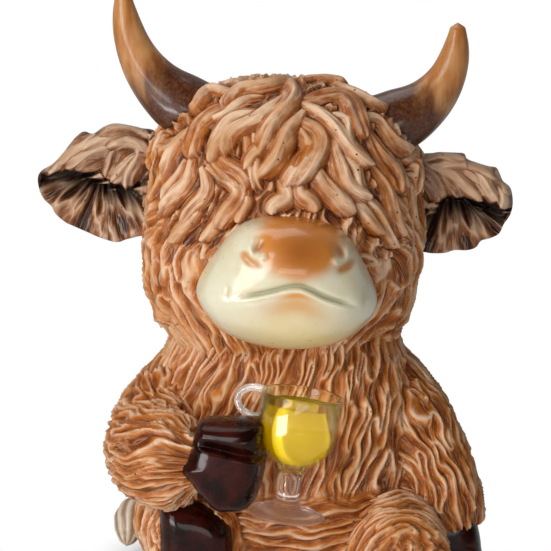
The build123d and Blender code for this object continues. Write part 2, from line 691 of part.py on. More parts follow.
head = head_form().fuse(*head_locks()) - muzzle_form(-GLUE_GAP)
for name, side in SIDES.items():
    horn_seat = horn_form(name, GLUE_GAP)
    nodes[name + "_horn"] = head_place * horn_form(name, 0)
    nodes[name + "_ear"] = head_place * (ear_form(name, 0) - ear_scoop(name) - horn_seat)
    head -= horn_seat
    head -= ear_form(name, GLUE_GAP)
head += spigot(Pos(0, 0, -HEAD_NECK_DROP), NECK_SPIGOT_RADIUS, NECK_SPIGOT_LENGTH)
nodes["head"] = head_place * head
nodes["muzzle"] = head_place * (muzzle_form(0) - mouth_cutter() - nostril_cutter(1) - nostril_cutter(-1))

tail = tapered(tail_path, TAIL_RADIUS, tail_radius_shares, UP) - torso_outside - floor
tail += spigot(tail_joint, TAIL_SPIGOT_RADIUS)
nodes["tail"] = tail - socket(tuft_joint, TAIL_SPIGOT_RADIUS)
tuft = tapered(tuft_path, TAIL_RADIUS, tuft_radius_shares, UP) - torso_outside
nodes["tail_tuft"] = tuft + spigot(tuft_joint, TAIL_SPIGOT_RADIUS)

nodes["glass"] = glass_place * glass_form()
nodes["glass_handle"] = glass_place * handle_form()
nodes["lemon_slice"] = glass_place * lemon_form(0)
nodes["drink"] = glass_place * (bowl_solid(GLASS_WALL + GLUE_GAP, drink_height) - lemon_form(GLUE_GAP))

os.makedirs("parts", exist_ok=True)
for name, shape in nodes.items():
    export_step(shape, f"parts/{name}.step")
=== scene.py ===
import bpy
import numpy as np
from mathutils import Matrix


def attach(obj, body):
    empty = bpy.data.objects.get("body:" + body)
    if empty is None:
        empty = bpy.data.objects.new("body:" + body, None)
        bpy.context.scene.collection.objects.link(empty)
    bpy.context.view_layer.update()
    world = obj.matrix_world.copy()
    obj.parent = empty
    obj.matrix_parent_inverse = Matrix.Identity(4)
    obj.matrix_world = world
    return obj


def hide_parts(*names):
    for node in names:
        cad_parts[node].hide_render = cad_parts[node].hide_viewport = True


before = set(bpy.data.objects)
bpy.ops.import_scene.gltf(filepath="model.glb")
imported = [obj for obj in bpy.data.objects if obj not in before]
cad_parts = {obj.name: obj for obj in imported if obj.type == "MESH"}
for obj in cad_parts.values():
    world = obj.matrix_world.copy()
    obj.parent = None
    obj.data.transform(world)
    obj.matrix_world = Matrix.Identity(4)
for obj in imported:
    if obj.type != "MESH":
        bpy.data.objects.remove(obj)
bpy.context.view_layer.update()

# The body: a seated torso and four limbs, resin castings on spigots, with the long coat modelled on them.
# The hair is thin wavy ridges that fork and run together, washed brown, dry-brushed pale and lacquered, the
# pale crests partly painted highlight.
# Sizes are in millimetres, and meshes in metres.
MM = 0.001
RNG = np.random.default_rng(11)
TORSO_SECTIONS = [
    (1.0, 28.5, 25.4, 0.0),
    (12.3, 31.0, 27.0, -0.4),
    (26.7, 30.7, 25.9, -1.6),
    (41.2, 28.2, 23.2, -3.2),
    (53.5, 23.4, 20.4, -4.0),
]
LIMBS = {
    "right_arm": (
        [(-18.6, -2.7, 42.8), (-27.6, -17.0, 31.1), (-18.0, -37.3, 30.5)],
        [(-0.45, -0.45, -0.5), (1.0, -0.16, 0.0)],
    ),
    "left_arm": (
        [(18.6, -3.0, 43.0), (28.2, -7.0, 28.5), (34.8, -9.9, 11.4)],
        [(0.6, -0.2, -0.6), (0.16, -0.1, -1.0)],
    ),
    "right_leg": (
        [(-18.0, 2.0, 12.5), (-21.5, -13.0, 13.2), (-18.6, -28.1, 12.4)],
        [(-0.3, -1.0, 0.0), (0.05, -1.0, 0.03)],
    ),
    "left_leg": (
        [(17.5, 2.0, 11.6), (21.5, -13.0, 10.8), (25.2, -30.0, 7.3)],
        [(0.4, -1.0, 0.0), (0.14, -1.0, -0.12)],
    ),
}
LIMB_PLACES = [0.0, 0.3, 0.55, 0.8, 1.0]
ARM_RADII = [9.0, 10.2, 10.0, 9.4, 8.4]
LEG_RADII = [9.4, 10.5, 10.4, 10.0, 9.2]
LIMB_STATIONS, LIMB_END_ROWS, LIMB_COLUMNS = 140, 16, 200
TORSO_ROWS, TORSO_COLUMNS = 165, 560
FLOOR_CLEARANCE = 1.4
NOISE_ROWS = 64
RIDGE_SPREAD = 0.45
SWING_SIZE, SHORT_SWING_SIZE, SHORT_SWING = 9, 5, 0.35
SLOPE_STEP, LEAST_SLOPE = 0.06, 0.3
MAIN_SHARE, FINE_SHARE = 0.72, 0.28


def unit(vectors):
    """Rows scaled to length one."""
    return vectors / np.maximum(np.linalg.norm(vectors, axis=-1, keepdims=True), 1e-9)


def smooth_step(values, low, high):
    """Nought below low, one above high, with an even S curve between."""
    t = np.clip((values - low) / (high - low), 0, 1)
    return t * t * (3 - 2 * t)


def hump(values, width):
    """A bell curve, one at nought."""
    return np.exp(-((values / width) ** 2))


def through(points, count, closed=False):
    """A smooth line through points: cubic spans, the slope at each half the step between its neighbours."""
    points = np.asarray(points, float)
    if closed:
        padded = np.concatenate([points[-1:], points, points[:2]])
    else:
        padded = np.concatenate([2 * points[:1] - points[1:2], points, 2 * points[-1:] - points[-2:-1]])
    spans = len(padded) - 3
    t = np.linspace(0, spans, count, endpoint=not closed)
    i = np.minimum(t.astype(int), spans - 1)
    u = (t - i)[:, None]
    a, b, c, d = padded[i], padded[i + 1], padded[i + 2], padded[i + 3]
    return 0.5 * (2 * b + (c - a) * u + (2 * a - 5 * b + 4 * c - d) * u**2 + (3 * b - a - 3 * c + d) * u**3)


def limb_line(points, aims):
    """A clamped cubic through three points, with a middle slope that makes both spans bend alike there."""
    a, b, c = np.array(points)
    first, last = np.linalg.norm(b - a), np.linalg.norm(c - b)
    knot = first / (first + last)
    rest = 1 - knot
    start, end = unit(np.array(aims)) * (first + last)
    middle = (3 * (rest * (b - a) / knot + knot * (c - b) / rest) - rest * start - knot * end) / 2
    t = np.linspace(0, 1, LIMB_STATIONS)[:, None]
    early = t < knot
    span = np.where(early, knot, rest)
    u = np.where(early, t / knot, (t - knot) / rest)
    p, q = np.where(early, a, b), np.where(early, b, c)
    m, n = np.where(early, start, middle) * span, np.where(early, middle, end) * span
    return (
        (2 * u**3 - 3 * u**2 + 1) * p + (u**3 - 2 * u**2 + u) * m
        + (3 * u**2 - 2 * u**3) * q + (u**3 - u**2) * n
    )


def swell(across, along, cells, seed):
    """Smooth noise that repeats after some cells across: random slopes at corners, blended by S curves."""
    slopes = np.random.default_rng(seed).uniform(0, 2 * np.pi, (cells, NOISE_ROWS))
    i, j = np.floor(across).astype(int), np.floor(along).astype(int)
    x, y = across - i, along - j
    right, up = (t**3 * (6 * t * t - 15 * t + 10) for t in (x, y))
    total = 0
    for a, b in ((0, 0), (1, 0), (0, 1), (1, 1)):
        angle = slopes[(i + a) % cells, (j + b) % NOISE_ROWS]
        weight = (right if a else 1 - right) * (up if b else 1 - up)
        total = total + weight * (np.cos(angle) * (x - a) + np.sin(angle) * (y - b))
    return total


def ridges(level):
    """One where noise crosses nought, falling straight to nought beside it: thin crests along contours."""
    return np.clip(1 - np.abs(level) / RIDGE_SPREAD, 0, 1)


def hair(turn, along, girth, gauge, run, wave, seed):
    """How high hair stands that is combed along a form, nought to one, and its strands' places across.

    Crests lie where stretched noise, swung sideways by slow noise, crosses nought. The noise is divided by
    its slope, so that they are of one width. Finer crests at half the gauge lie between.
    """
    share = turn / (2 * np.pi)
    slow = round(girth / SWING_SIZE)
    swing = swell(share * slow, along / SWING_SIZE + 7, slow, seed)
    swing = swing + SHORT_SWING * swell(share * 2 * slow, along / SHORT_SWING_SIZE, 2 * slow, seed + 1)
    cells = round(girth / gauge)
    across = share * cells + wave / gauge * swing
    before, level, after = (
        swell(x, along / run, cells, seed + 2)
        + 0.3 * swell(2 * x + 0.5, 2 * along / run, 2 * cells, seed + 3)
        for x in (across - SLOPE_STEP, across, across + SLOPE_STEP)
    )
    main = ridges(level / np.hypot((after - before) / (2 * SLOPE_STEP), LEAST_SLOPE))
    fine = ridges(swell(2 * across + 0.3, 1.4 * along / run + 5, 2 * cells, seed + 4))
    return MAIN_SHARE * main**1.5 + FINE_SHARE * fine, across * gauge


def write_mesh(name, vertices, quads, rings=None, attributes=None):
    """A smooth-shaded mesh object from millimetre vertices, four-sided faces and any many-sided end caps."""
    mesh = bpy.data.meshes.new(name)
    loops = quads.ravel()
    starts = np.arange(len(quads)) * 4
    if rings is not None:
        starts = np.concatenate([starts, len(loops) + np.arange(len(rings)) * rings.shape[1]])
        loops = np.concatenate([loops, rings.ravel()])
    mesh.vertices.add(len(vertices))
    mesh.vertices.foreach_set("co", (vertices * MM).astype(np.float32).ravel())
    mesh.loops.add(len(loops))
    mesh.loops.foreach_set("vertex_index", loops.astype(np.int32))
    mesh.polygons.add(len(starts))
    mesh.polygons.foreach_set("loop_start", starts.astype(np.int32))
    mesh.polygons.foreach_set("use_smooth", np.ones(len(starts), bool))
    for key, values in (attributes or {}).items():
        layer = mesh.attributes.new(key, "FLOAT", "POINT")
        layer.data.foreach_set("value", np.ascontiguousarray(values, np.float32).ravel())
    mesh.update(calc_edges=True)
    mesh.validate()
    piece = bpy.data.objects.new(name, mesh)
    bpy.context.scene.collection.objects.link(piece)
    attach(piece, "root")
    return piece


def grid_mesh(name, points, attributes=None):
    """A grid of points, rows by columns by three, joined round each row and capped at both end rows."""
    rows, columns, _ = points.shape
    index = np.arange(rows * columns).reshape(rows, columns)
    after = np.roll(index, -1, axis=1)
    quads = np.stack([index[:-1], after[:-1], after[1:], index[1:]], axis=-1).reshape(-1, 4)
    rings = np.stack([index[0][::-1], index[-1]])
    return write_mesh(name, points.reshape(-1, 3), quads, rings, attributes)


def circle(count):
    """Angles in even steps once round."""
    return np.linspace(0, 2 * np.pi, count, endpoint=False)


def tube_points(line, radii, reference, columns):
    """A round section carried along a line: side and up are square to the line and turned to a reference."""
    along = unit(np.gradient(line, axis=0))
    side = unit(np.cross(along, reference))
    up = np.cross(side, along)
    turn = circle(columns)[None, :, None]
    rim = side[:, None] * np.sin(turn) + up[:, None] * np.cos(turn)
    return line[:, None] + rim * radii[:, None, None]


def raised(points, heights):
    """A grid of points, closed round its rows, moved out along its own normals."""
    around = np.roll(points, -1, axis=1) - np.roll(points, 1, axis=1)
    return points + unit(np.cross(around, np.gradient(points, axis=0))) * heights[..., None]


class Socket:
    """An output socket of a material's nodes: arithmetic on it adds Math nodes."""

    def __init__(self, tree, socket):
        self.tree = tree
        self.socket = socket

    def node(self, kind, settings=None, inputs=None, output=0):
        """A new node of a kind, its settings set and its inputs given values or links: one of its outputs."""
        made = self.tree.nodes.new(kind)
        for key, value in (settings or {}).items():
            setattr(made, key, value)
        for key, value in (inputs or {}).items():
            if isinstance(value, Socket):
                self.tree.links.new(value.socket, made.inputs[key])
            else:
                made.inputs[key].default_value = value
        return Socket(self.tree, made.outputs[output])

    def math(self, operation, left, right):
        return self.node("ShaderNodeMath", {"operation": operation}, {0: left, 1: right})

    def __add__(self, other):
        return self.math("ADD", self, other)

    def __sub__(self, other):
        return self.math("SUBTRACT", self, other)

    def __rsub__(self, other):
        return self.math("SUBTRACT", other, self)

    def __mul__(self, other):
        return self.math("MULTIPLY", self, other)

    __radd__ = __add__
    __rmul__ = __mul__

    def step(self, low, high):
        """Nought below low, one above high, smooth between."""
        inputs = {"Value": self, "From Min": low, "From Max": high}
        return self.node("ShaderNodeMapRange", {"interpolation_type": "SMOOTHSTEP"}, inputs)

    def mix(self, first, second):
        """The colour first where this is nought, second where it is one."""
        return self.node("ShaderNodeMix", {"data_type": "RGBA"}, {0: self, 6: first, 7: second}, 2)

    def attribute(self, name):
        """A number kept on the mesh's points."""
        return self.node("ShaderNodeAttribute", {"attribute_name": name}, output=2)

    def place(self, size, stretch=(1, 1, 1)):
        """Object coordinates scaled so that one unit is a size in millimetres."""
        spot = self.node("ShaderNodeTexCoord", output=3)
        scale = tuple(share / (size * MM) for share in stretch)
        return self.node("ShaderNodeMapping", None, {"Vector": spot, "Scale": scale})

    def noise(self, size, detail=3.0, stretch=(1, 1, 1)):
        """Cloudy noise with features of about a size in millimetres."""
        inputs = {"Vector": self.place(size, stretch), "Scale": 1.0, "Detail": detail}
        return self.node("ShaderNodeTexNoise", None, inputs)

    def spots(self, size, low, high):
        """One at scattered points a size apart in millimetres, falling to nought between two shares of it."""
        inputs = {"Vector": self.place(size), "Scale": 1.0}
        return 1 - self.node("ShaderNodeTexVoronoi", None, inputs).step(low, high)

    def feed(self, name, value):
        """Links a value into an input of the shader that this socket comes from."""
        self.tree.links.new(value.socket, self.socket.node.inputs[name])

    def bump(self, height, strength, depth):
        """Raises the shader's surface by a height, at most a depth in millimetres."""
        inputs = {"Height": height, "Strength": strength, "Distance": depth * MM}
        self.feed("Normal", self.node("ShaderNodeBump", None, inputs))


def new_finish(name, **constants):
    """A material with one principled shader, its constant inputs set, and the shader's socket to build on."""
    material = bpy.data.materials.new(name)
    material.use_nodes = True
    shader = material.node_tree.nodes["Principled BSDF"]
    for key, value in constants.items():
        shader.inputs[key.replace("_", " ")].default_value = value
    return material, Socket(material.node_tree, shader.outputs[0])


def shown(code):
    """The linear colour that shows as six hex digits."""
    level = np.array([int(code[i : i + 2], 16) for i in (0, 2, 4)]) / 255
    return (*np.where(level <= 0.04045, level / 12.92, ((level + 0.055) / 1.055) ** 2.4), 1.0)


THREADS_ACROSS, THREADS_ALONG = 1.3, 0.14
SHADE_BLACK, PORE_BROWN, PORE_SPACING = "150804", "2A1209", 2.9


def coat_finish(name, crease, wash, ridge):
    """Dark wash in the hollows, brown on the flanks, a paler colour dry-brushed on the crests, and hairlines.

    A hairline is drawn where noise along the strands crosses its middle. Pores are pinholes on the crests.
    The pale on the crests and the hairlines is partly dry-brushed paint and partly painted highlight.
    """
    material, shader = new_finish(name, Coat_Weight=0.11, Coat_Roughness=0.2, Specular_IOR_Level=0.2)
    crest = shader.attribute("crest")
    cloud, blotch, speck = shader.noise(9.0), shader.noise(3.0), shader.noise(0.5)
    places = {0: shader.attribute("strand") * THREADS_ACROSS, 1: shader.attribute("run") * THREADS_ALONG}
    strand = shader.node("ShaderNodeCombineXYZ", None, places)
    thread = shader.node("ShaderNodeTexNoise", None, {"Vector": strand, "Scale": 1.0, "Detail": 2.0})
    hairline = 1 - shader.node("ShaderNodeMath", {"operation": "ABSOLUTE"}, {0: thread - 0.5}).step(0.0, 0.05)
    deep = (crest + 0.35 * speck + 0.25 * thread - 0.3).step(0.0, 0.45)
    # Painted highlight as well as dry-brush: the crests and the hairlines are mixed towards the pale colour.
    pale_crest = (crest + 0.5 * thread + 0.3 * blotch - 0.4).step(0.42, 0.9)
    brown = blotch.step(0.35, 0.65).mix(shown(wash[0]), shown(wash[1]))
    pale = cloud.step(0.35, 0.65).mix(shown(ridge[0]), shown(ridge[1]))
    colour = (pale_crest * 0.95 + hairline * 0.35).mix(deep.mix(shown(crease), brown), pale)
    # Painted shade: where the shade attribute is set, as under an ear's flap, the colour goes nearly black.
    colour = (shader.attribute("shade") * 0.97).mix(colour, shown(SHADE_BLACK))
    pore = shader.spots(PORE_SPACING, 0.06, 0.1) * crest.step(0.45, 0.8)
    shader.feed("Base Color", pore.mix(colour, shown(PORE_BROWN)))
    shader.feed("Roughness", 0.34 + 0.24 * speck)
    shader.bump(0.6 * hairline + 0.3 * speck - pore, 0.55, 0.22)
    return material


coat_paint = coat_finish("coat_paint", "743204", ("B4601A", "CC7A2E"), ("E2AE7E", "F8D2AE"))


def fitted(piece, finish, node):
    """Gives a piece its finish, and puts it in the place of a node of the frame."""
    piece.data.materials.append(finish)
    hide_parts(node)


def haired(name, node, points, heights, strand, run, crest):
    """A form with its hair raised on it, which takes the place of a node of the frame."""
    points = raised(points, heights)
    points[..., 2] = np.maximum(points[..., 2], FLOOR_CLEARANCE)
    layers = {"crest": crest, "strand": strand, "run": run}
    piece = grid_mesh(name, points, {key: values + 0 * heights for key, values in layers.items()})
    fitted(piece, coat_paint, node)


HAIR_HEIGHT = 1.7
TORSO_GIRTH, TORSO_RADIUS, CHEST_TWIST = 180.0, 29, 0.011
CHEST_GAUGE, CHEST_RUN, CHEST_WAVE = 3.0, 12.0, 3.4
BELLY_LEVEL, BELLY_FADE, BELLY_HALF_GIRTH = 21.0, 2.5, 26
BELLY_GAUGE, BELLY_RUN, BELLY_WAVE = 2.6, 14.0, 2.6
BELLY_SIDES, HEM_LEVELS = (0.0, -0.4), (1.0, 3.0)
CHEST_SEED, BELLY_SEED = 5, 41
level, half_width, half_depth, lean = (column[:, None] for column in through(TORSO_SECTIONS, TORSO_ROWS).T)
turn = circle(TORSO_COLUMNS)[None]
around = turn * TORSO_RADIUS + 0 * level
torso_x, torso_y = half_width * np.cos(turn), lean + half_depth * np.sin(turn)
torso_points = np.stack([torso_x, torso_y, level + 0 * turn], axis=-1)
chest_turn = turn - CHEST_TWIST * level
down, strand = hair(chest_turn, level, TORSO_GIRTH, CHEST_GAUGE, CHEST_RUN, CHEST_WAVE, CHEST_SEED)
upward = level / BELLY_HALF_GIRTH * np.pi + 0 * turn
belly_girth = 2 * BELLY_HALF_GIRTH
sideways, low_strand = hair(upward, around, belly_girth, BELLY_GAUGE, BELLY_RUN, BELLY_WAVE, BELLY_SEED)
belly = smooth_step(level, BELLY_LEVEL + BELLY_FADE, BELLY_LEVEL - BELLY_FADE)
belly = belly * smooth_step(np.sin(turn), *BELLY_SIDES)
relief = (down * (1 - belly) + sideways * belly) * smooth_step(level, *HEM_LEVELS)
strand = np.where(belly > 0.5, low_strand, strand)
run = np.where(belly > 0.5, around, level)
haired("torso_casting", "torso", torso_points, HAIR_HEIGHT * relief, strand, run, relief)

ARM_END, LEG_END = (1.4, 0.7, 2.5), (4.0, 0.03, 0.5)
WRIST_TAPER, WRIST_SHARE = 0.45, 0.84
LIMB_HAIR_SHARE, LIMB_GAUGE = 0.85, 2.3
LIMB_HAIR_HEIGHT = HAIR_HEIGHT * LIMB_HAIR_SHARE
LIMB_SEED, LIMB_SEED_STEP = 60, 10
ARM_GIRTH, ARM_RUN, ARM_WAVE, ARM_TWIST = 63.0, 10.0, 3.4, 0.02
LEG_RADIUS, LEG_RUN, LEG_WAVE = 10, 12.0, 2.6
for number, (name, (points, aims)) in enumerate(LIMBS.items()):
    leg = name.endswith("leg")
    line = limb_line(points, aims)
    sizes = through(list(zip(LIMB_PLACES, LEG_RADII if leg else ARM_RADII)), 60)
    radii = np.interp(np.linspace(0, 1, LIMB_STATIONS), *sizes.T)
    dome, flat, fade = LEG_END if leg else ARM_END
    bend = np.linspace(0, np.pi / 2, LIMB_END_ROWS + 1)[1:]
    line = np.concatenate([line, line[-1] + dome * np.sin(bend)[:, None] * unit(np.array(aims[-1]))])
    radii = np.concatenate([radii, radii[-1] * (flat + (1 - flat) * np.cos(bend))])
    if name == "right_arm":
        wrist = smooth_step(np.arange(len(radii)) / LIMB_STATIONS, WRIST_SHARE, 1.0)
        radii = radii * (1 - WRIST_TAPER * wrist)
    steps = np.hypot(np.linalg.norm(np.diff(line, axis=0), axis=1), np.diff(radii))
    along = np.concatenate([[0], np.cumsum(steps)])[:, None]
    reference = np.array((0, -1, 0) if name == "left_arm" else (0, 0, 1))
    tube = tube_points(line, radii, reference, LIMB_COLUMNS)
    turn = circle(LIMB_COLUMNS)[None]
    seed = LIMB_SEED + LIMB_SEED_STEP * number
    if leg:
        run = (turn + np.pi) % (2 * np.pi) * LEG_RADIUS + 0 * along
        turn = 2 * np.pi * along / along[-1]
        relief, strand = hair(turn, run, along[-1, 0], LIMB_GAUGE, LEG_RUN, LEG_WAVE, seed)
    else:
        run = along
        twist = ARM_TWIST * along if name == "right_arm" else 0.0
        relief, strand = hair(turn + twist, along, ARM_GIRTH, LIMB_GAUGE, ARM_RUN, ARM_WAVE, seed)
    relief = relief * smooth_step(along, along[-1], along[-1] - fade)
    haired(name + "_casting", name, tube, LIMB_HAIR_HEIGHT * relief, strand, run, relief)

# The head: a rounded casting with the same coat, glued on the neck spigot and rolled a little to one side.
# Broad rippled locks lie over one another in rows round its back and cheeks and hang over the neck.
HEAD_MIDDLE = np.array([0.0, -4.0, 81.0])
HEAD_HALF_SIZES = np.array([28.5, 26.5])
HEAD_RISE, HEAD_DROP = 26.8, 41.0
HEAD_ROUNDNESS = 2.5
HEAD_ROLL = np.radians(4.0)
LOCK_ROWS = [
    (86, 46, 8, 0.17), (65, 27, 13, 0.57), (45, 7, 16, 0.08), (25, -15, 17, 0.55), (4, -36, 17, 0.03),
]
LOCK_WIDTH, LOCK_HEIGHT, LOCK_SWAY, LOCK_SWAY_TURN, LOCK_SWAY_START = 8.6, 1.9, 9.0, 137.5, 28
LOCK_ENDS = np.array([
    (0.0, 0.35, 0.1), (0.2, 0.7, 0.45), (0.5, 1.0, 0.8), (0.8, 0.95, 1.0),
    (0.9, 0.8, 1.0), (0.96, 0.55, 0.95), (1.0, 0.1, 0.8),
])
LOCK_STATIONS, LOCK_REACH, FAR_OFF, STRAND_SHIFT = 24, 8, -9.0, 7.3
COVER_EDGES, COVER_FADE = (-30.0, 118.0, 66.0), 9.0
FORELOCK_EDGE, MUZZLE_EDGE = 64, 46
HEAD_TILTS, HEAD_SAMPLES, HEAD_ROWS, HEAD_COLUMNS = (-0.62, 0.996), 3000, 186, 520
HEAD_GIRTH, HEAD_GAUGE, HEAD_RUN, HEAD_WAVE = 170.0, 3.0, 12.0, 3.2
PART_TURN, PART_LEVEL, PART_SPREAD = 0.5, -15.0, 13.0
UNDER_DEPTH, UNDER_SHARES, CROWN_SHARES = 1.2, (0.5, 0.9), (0.1, 0.45)
ARCH_POWER, ARCH_BASE, ARCH_CREST, CREST_WIDTH, GROOVE_WIDTH = 0.6, 0.55, 0.45, 0.5, 0.4
NORMAL_STEP, LEAST_WIDTH, HEAD_SKEW, HEAD_SEED = 0.3, 0.05, 0.3, 120


def rolled(points, angle):
    """Points turned about the way the figure faces, the upright leaning over to the left."""
    x, y, z = np.moveaxis(np.asarray(points), -1, 0)
    cos, sin = np.cos(angle), np.sin(angle)
    return np.stack([x * cos + z * sin, y, z * cos - x * sin], axis=-1)


def to_head(points):
    """Points in the head's own frame, which is rolled about its middle."""
    return rolled(points - HEAD_MIDDLE, -HEAD_ROLL)


def from_head(points):
    """Points of the head's own frame, back in the frame of the whole figure."""
    return rolled(points, HEAD_ROLL) + HEAD_MIDDLE


def head_level(points):
    """One on the head's surface, in step with distance from its middle: a superellipse of ring and height."""
    x, y, z = np.moveaxis(to_head(points), -1, 0)
    ring = np.hypot(x / HEAD_HALF_SIZES[0], y / HEAD_HALF_SIZES[1])
    rise = np.abs(z / np.where(z > 0, HEAD_RISE, HEAD_DROP))
    return (ring**HEAD_ROUNDNESS + rise**HEAD_ROUNDNESS) ** (1 / HEAD_ROUNDNESS)


def head_normals(points):
    """Outward ways on the head: the slope of its level, by differences along each axis."""
    steps = np.eye(3) * NORMAL_STEP
    return unit(np.stack([head_level(points + step) - head_level(points - step) for step in steps], axis=-1))


def on_head(angles, bearings):
    """Points on the head by angle above its middle and bearing from the face, in degrees."""
    tilt, turn = np.radians(angles), np.radians(bearings)
    rise = np.sign(tilt) * np.abs(np.sin(tilt)) ** (2 / HEAD_ROUNDNESS)
    ring = np.maximum(1 - np.abs(rise) ** HEAD_ROUNDNESS, 0) ** (1 / HEAD_ROUNDNESS)
    x, y = HEAD_HALF_SIZES[0] * ring * np.sin(turn), -HEAD_HALF_SIZES[1] * ring * np.cos(turn)
    return from_head(np.stack([x, y, rise * np.where(rise > 0, HEAD_RISE, HEAD_DROP)], axis=-1))


def brow_cover(points):
    """One where the forelock lies, nought outside: angles up the face and sideways, faded at their limits."""
    x, y, z = np.moveaxis(unit(to_head(points)), -1, 0)
    up, aside = np.degrees(np.arctan2(z, -y)), np.degrees(np.arcsin(x))
    low, high, wide = COVER_EDGES
    inside = smooth_step(up, low, low + COVER_FADE) * smooth_step(up, high, high - COVER_FADE)
    return inside * smooth_step(np.abs(aside), wide, wide - COVER_FADE)


def lock_relief(points, path, outs, widths, heights, grooves, skews):
    """Locks modelled on a surface, each an arch across its path, narrow at the root and round at the tip.

    An arch's crest is moved aside and hollowed by shares. Gives the height of the highest lock at each
    point, or less than nought by how far off the nearest is, then the share of its arch, and the places
    across and along.
    """
    spots = points.reshape(-1, 3)
    best = np.full(len(spots), FAR_OFF)
    share, strand, run = np.zeros((3, len(spots)))
    ways = unit(np.gradient(path, axis=0))
    sides = unit(np.cross(ways, outs))
    for i in range(path.shape[1]):
        line = path[:, i]
        travel = np.concatenate([[0], np.cumsum(np.linalg.norm(np.diff(line, axis=0), axis=1))])
        close = (spots > line.min(0) - LOCK_REACH) & (spots < line.max(0) + LOCK_REACH)
        near = np.flatnonzero(np.all(close, axis=1))
        gap = spots[near, None] - line
        k = np.argmin((gap**2).sum(2), axis=1)
        gap = gap[np.arange(len(near)), k]
        along = travel[k] + (gap * ways[k, i]).sum(1)
        across = (gap * sides[k, i]).sum(1)
        place = along / travel[-1]
        wide = widths[i] / 2 * np.interp(place, LOCK_ENDS[:, 0], LOCK_ENDS[:, 1], 0, 0)
        high = heights[i] * np.interp(place, LOCK_ENDS[:, 0], LOCK_ENDS[:, 2])
        u = across / np.maximum(wide, LEAST_WIDTH)
        lean = u - skews[i] * (1 - u**2)
        arch = np.clip(1 - u**2, 0, 1) ** ARCH_POWER * (ARCH_BASE + ARCH_CREST * hump(lean, CREST_WIDTH))
        arch = arch * (1 - grooves[i] * hump(lean, GROOVE_WIDTH))
        beyond = np.maximum(along - travel[-1], 0) + np.maximum(-along, 0)
        off = np.hypot(np.maximum(np.abs(across) - wide, 0), beyond)
        score = np.where((np.abs(u) < 1) & (beyond == 0), high * arch, -off)
        win = score > best[near]
        chosen = near[win]
        best[chosen], share[chosen] = score[win], arch[win]
        strand[chosen], run[chosen] = across[win] + STRAND_SHIFT * i, along[win]
    return [values.reshape(points.shape[:-1]) for values in (best, share, strand, run)]


tilt = np.linspace(*HEAD_TILTS, HEAD_SAMPLES) * np.pi / 2
ring = np.cos(tilt) ** (2 / HEAD_ROUNDNESS)
rise = np.sign(tilt) * np.abs(np.sin(tilt)) ** (2 / HEAD_ROUNDNESS)
rise = rise * np.where(rise > 0, HEAD_RISE, HEAD_DROP)
travel = np.concatenate([[0], np.cumsum(np.hypot(np.diff(ring * HEAD_HALF_SIZES.mean()), np.diff(rise)))])
along = np.linspace(0, travel[-1], HEAD_ROWS)
ring, rise = np.interp(along, travel, ring)[:, None], np.interp(along, travel, rise)[:, None]
turn = circle(HEAD_COLUMNS)[None]
along = along[:, None]
head_x, head_y = HEAD_HALF_SIZES[0] * ring * np.cos(turn), HEAD_HALF_SIZES[1] * ring * np.sin(turn)
head_points = from_head(np.stack([head_x, head_y, rise + 0 * turn], axis=-1))
parted = PART_TURN * hump(rise - PART_LEVEL, PART_SPREAD) * np.sin(turn - 1.5 * np.pi)
relief, strand = hair(turn - parted, along, HEAD_GIRTH, HEAD_GAUGE, HEAD_RUN, HEAD_WAVE, HEAD_SEED)

rows = []
for root, tip, count, stagger in LOCK_ROWS:
    for index in range(count):
        bearing = (360 * (index + stagger) / count + 180) % 360 - 180
        sway = LOCK_SWAY * np.sin(np.radians(LOCK_SWAY_TURN * (LOCK_SWAY_START + len(rows))))
        if abs(bearing) > (MUZZLE_EDGE if root == LOCK_ROWS[-1][0] else FORELOCK_EDGE):
            rows.append((root, tip, bearing, sway))
root, tip, bearing, sway = np.array(rows).T
t = np.linspace(0, 1, LOCK_STATIONS)[:, None]
path = on_head(root + (tip - root) * t, bearing + sway * t**2)
count = len(rows)
skews = RNG.uniform(-HEAD_SKEW, HEAD_SKEW, count)
widths, heights = np.full(count, LOCK_WIDTH), np.full(count, LOCK_HEIGHT)
best, *_ = lock_relief(head_points, path, head_normals(path), widths, heights, 0 * skews, skews)
heights = (HAIR_HEIGHT * relief + np.maximum(best, 0)) * smooth_step(ring, *CROWN_SHARES)
under = smooth_step(brow_cover(head_points), *UNDER_SHARES)
heights = heights * (1 - under) - UNDER_DEPTH * under
haired("head_casting", "head", head_points, heights, strand, along, relief)

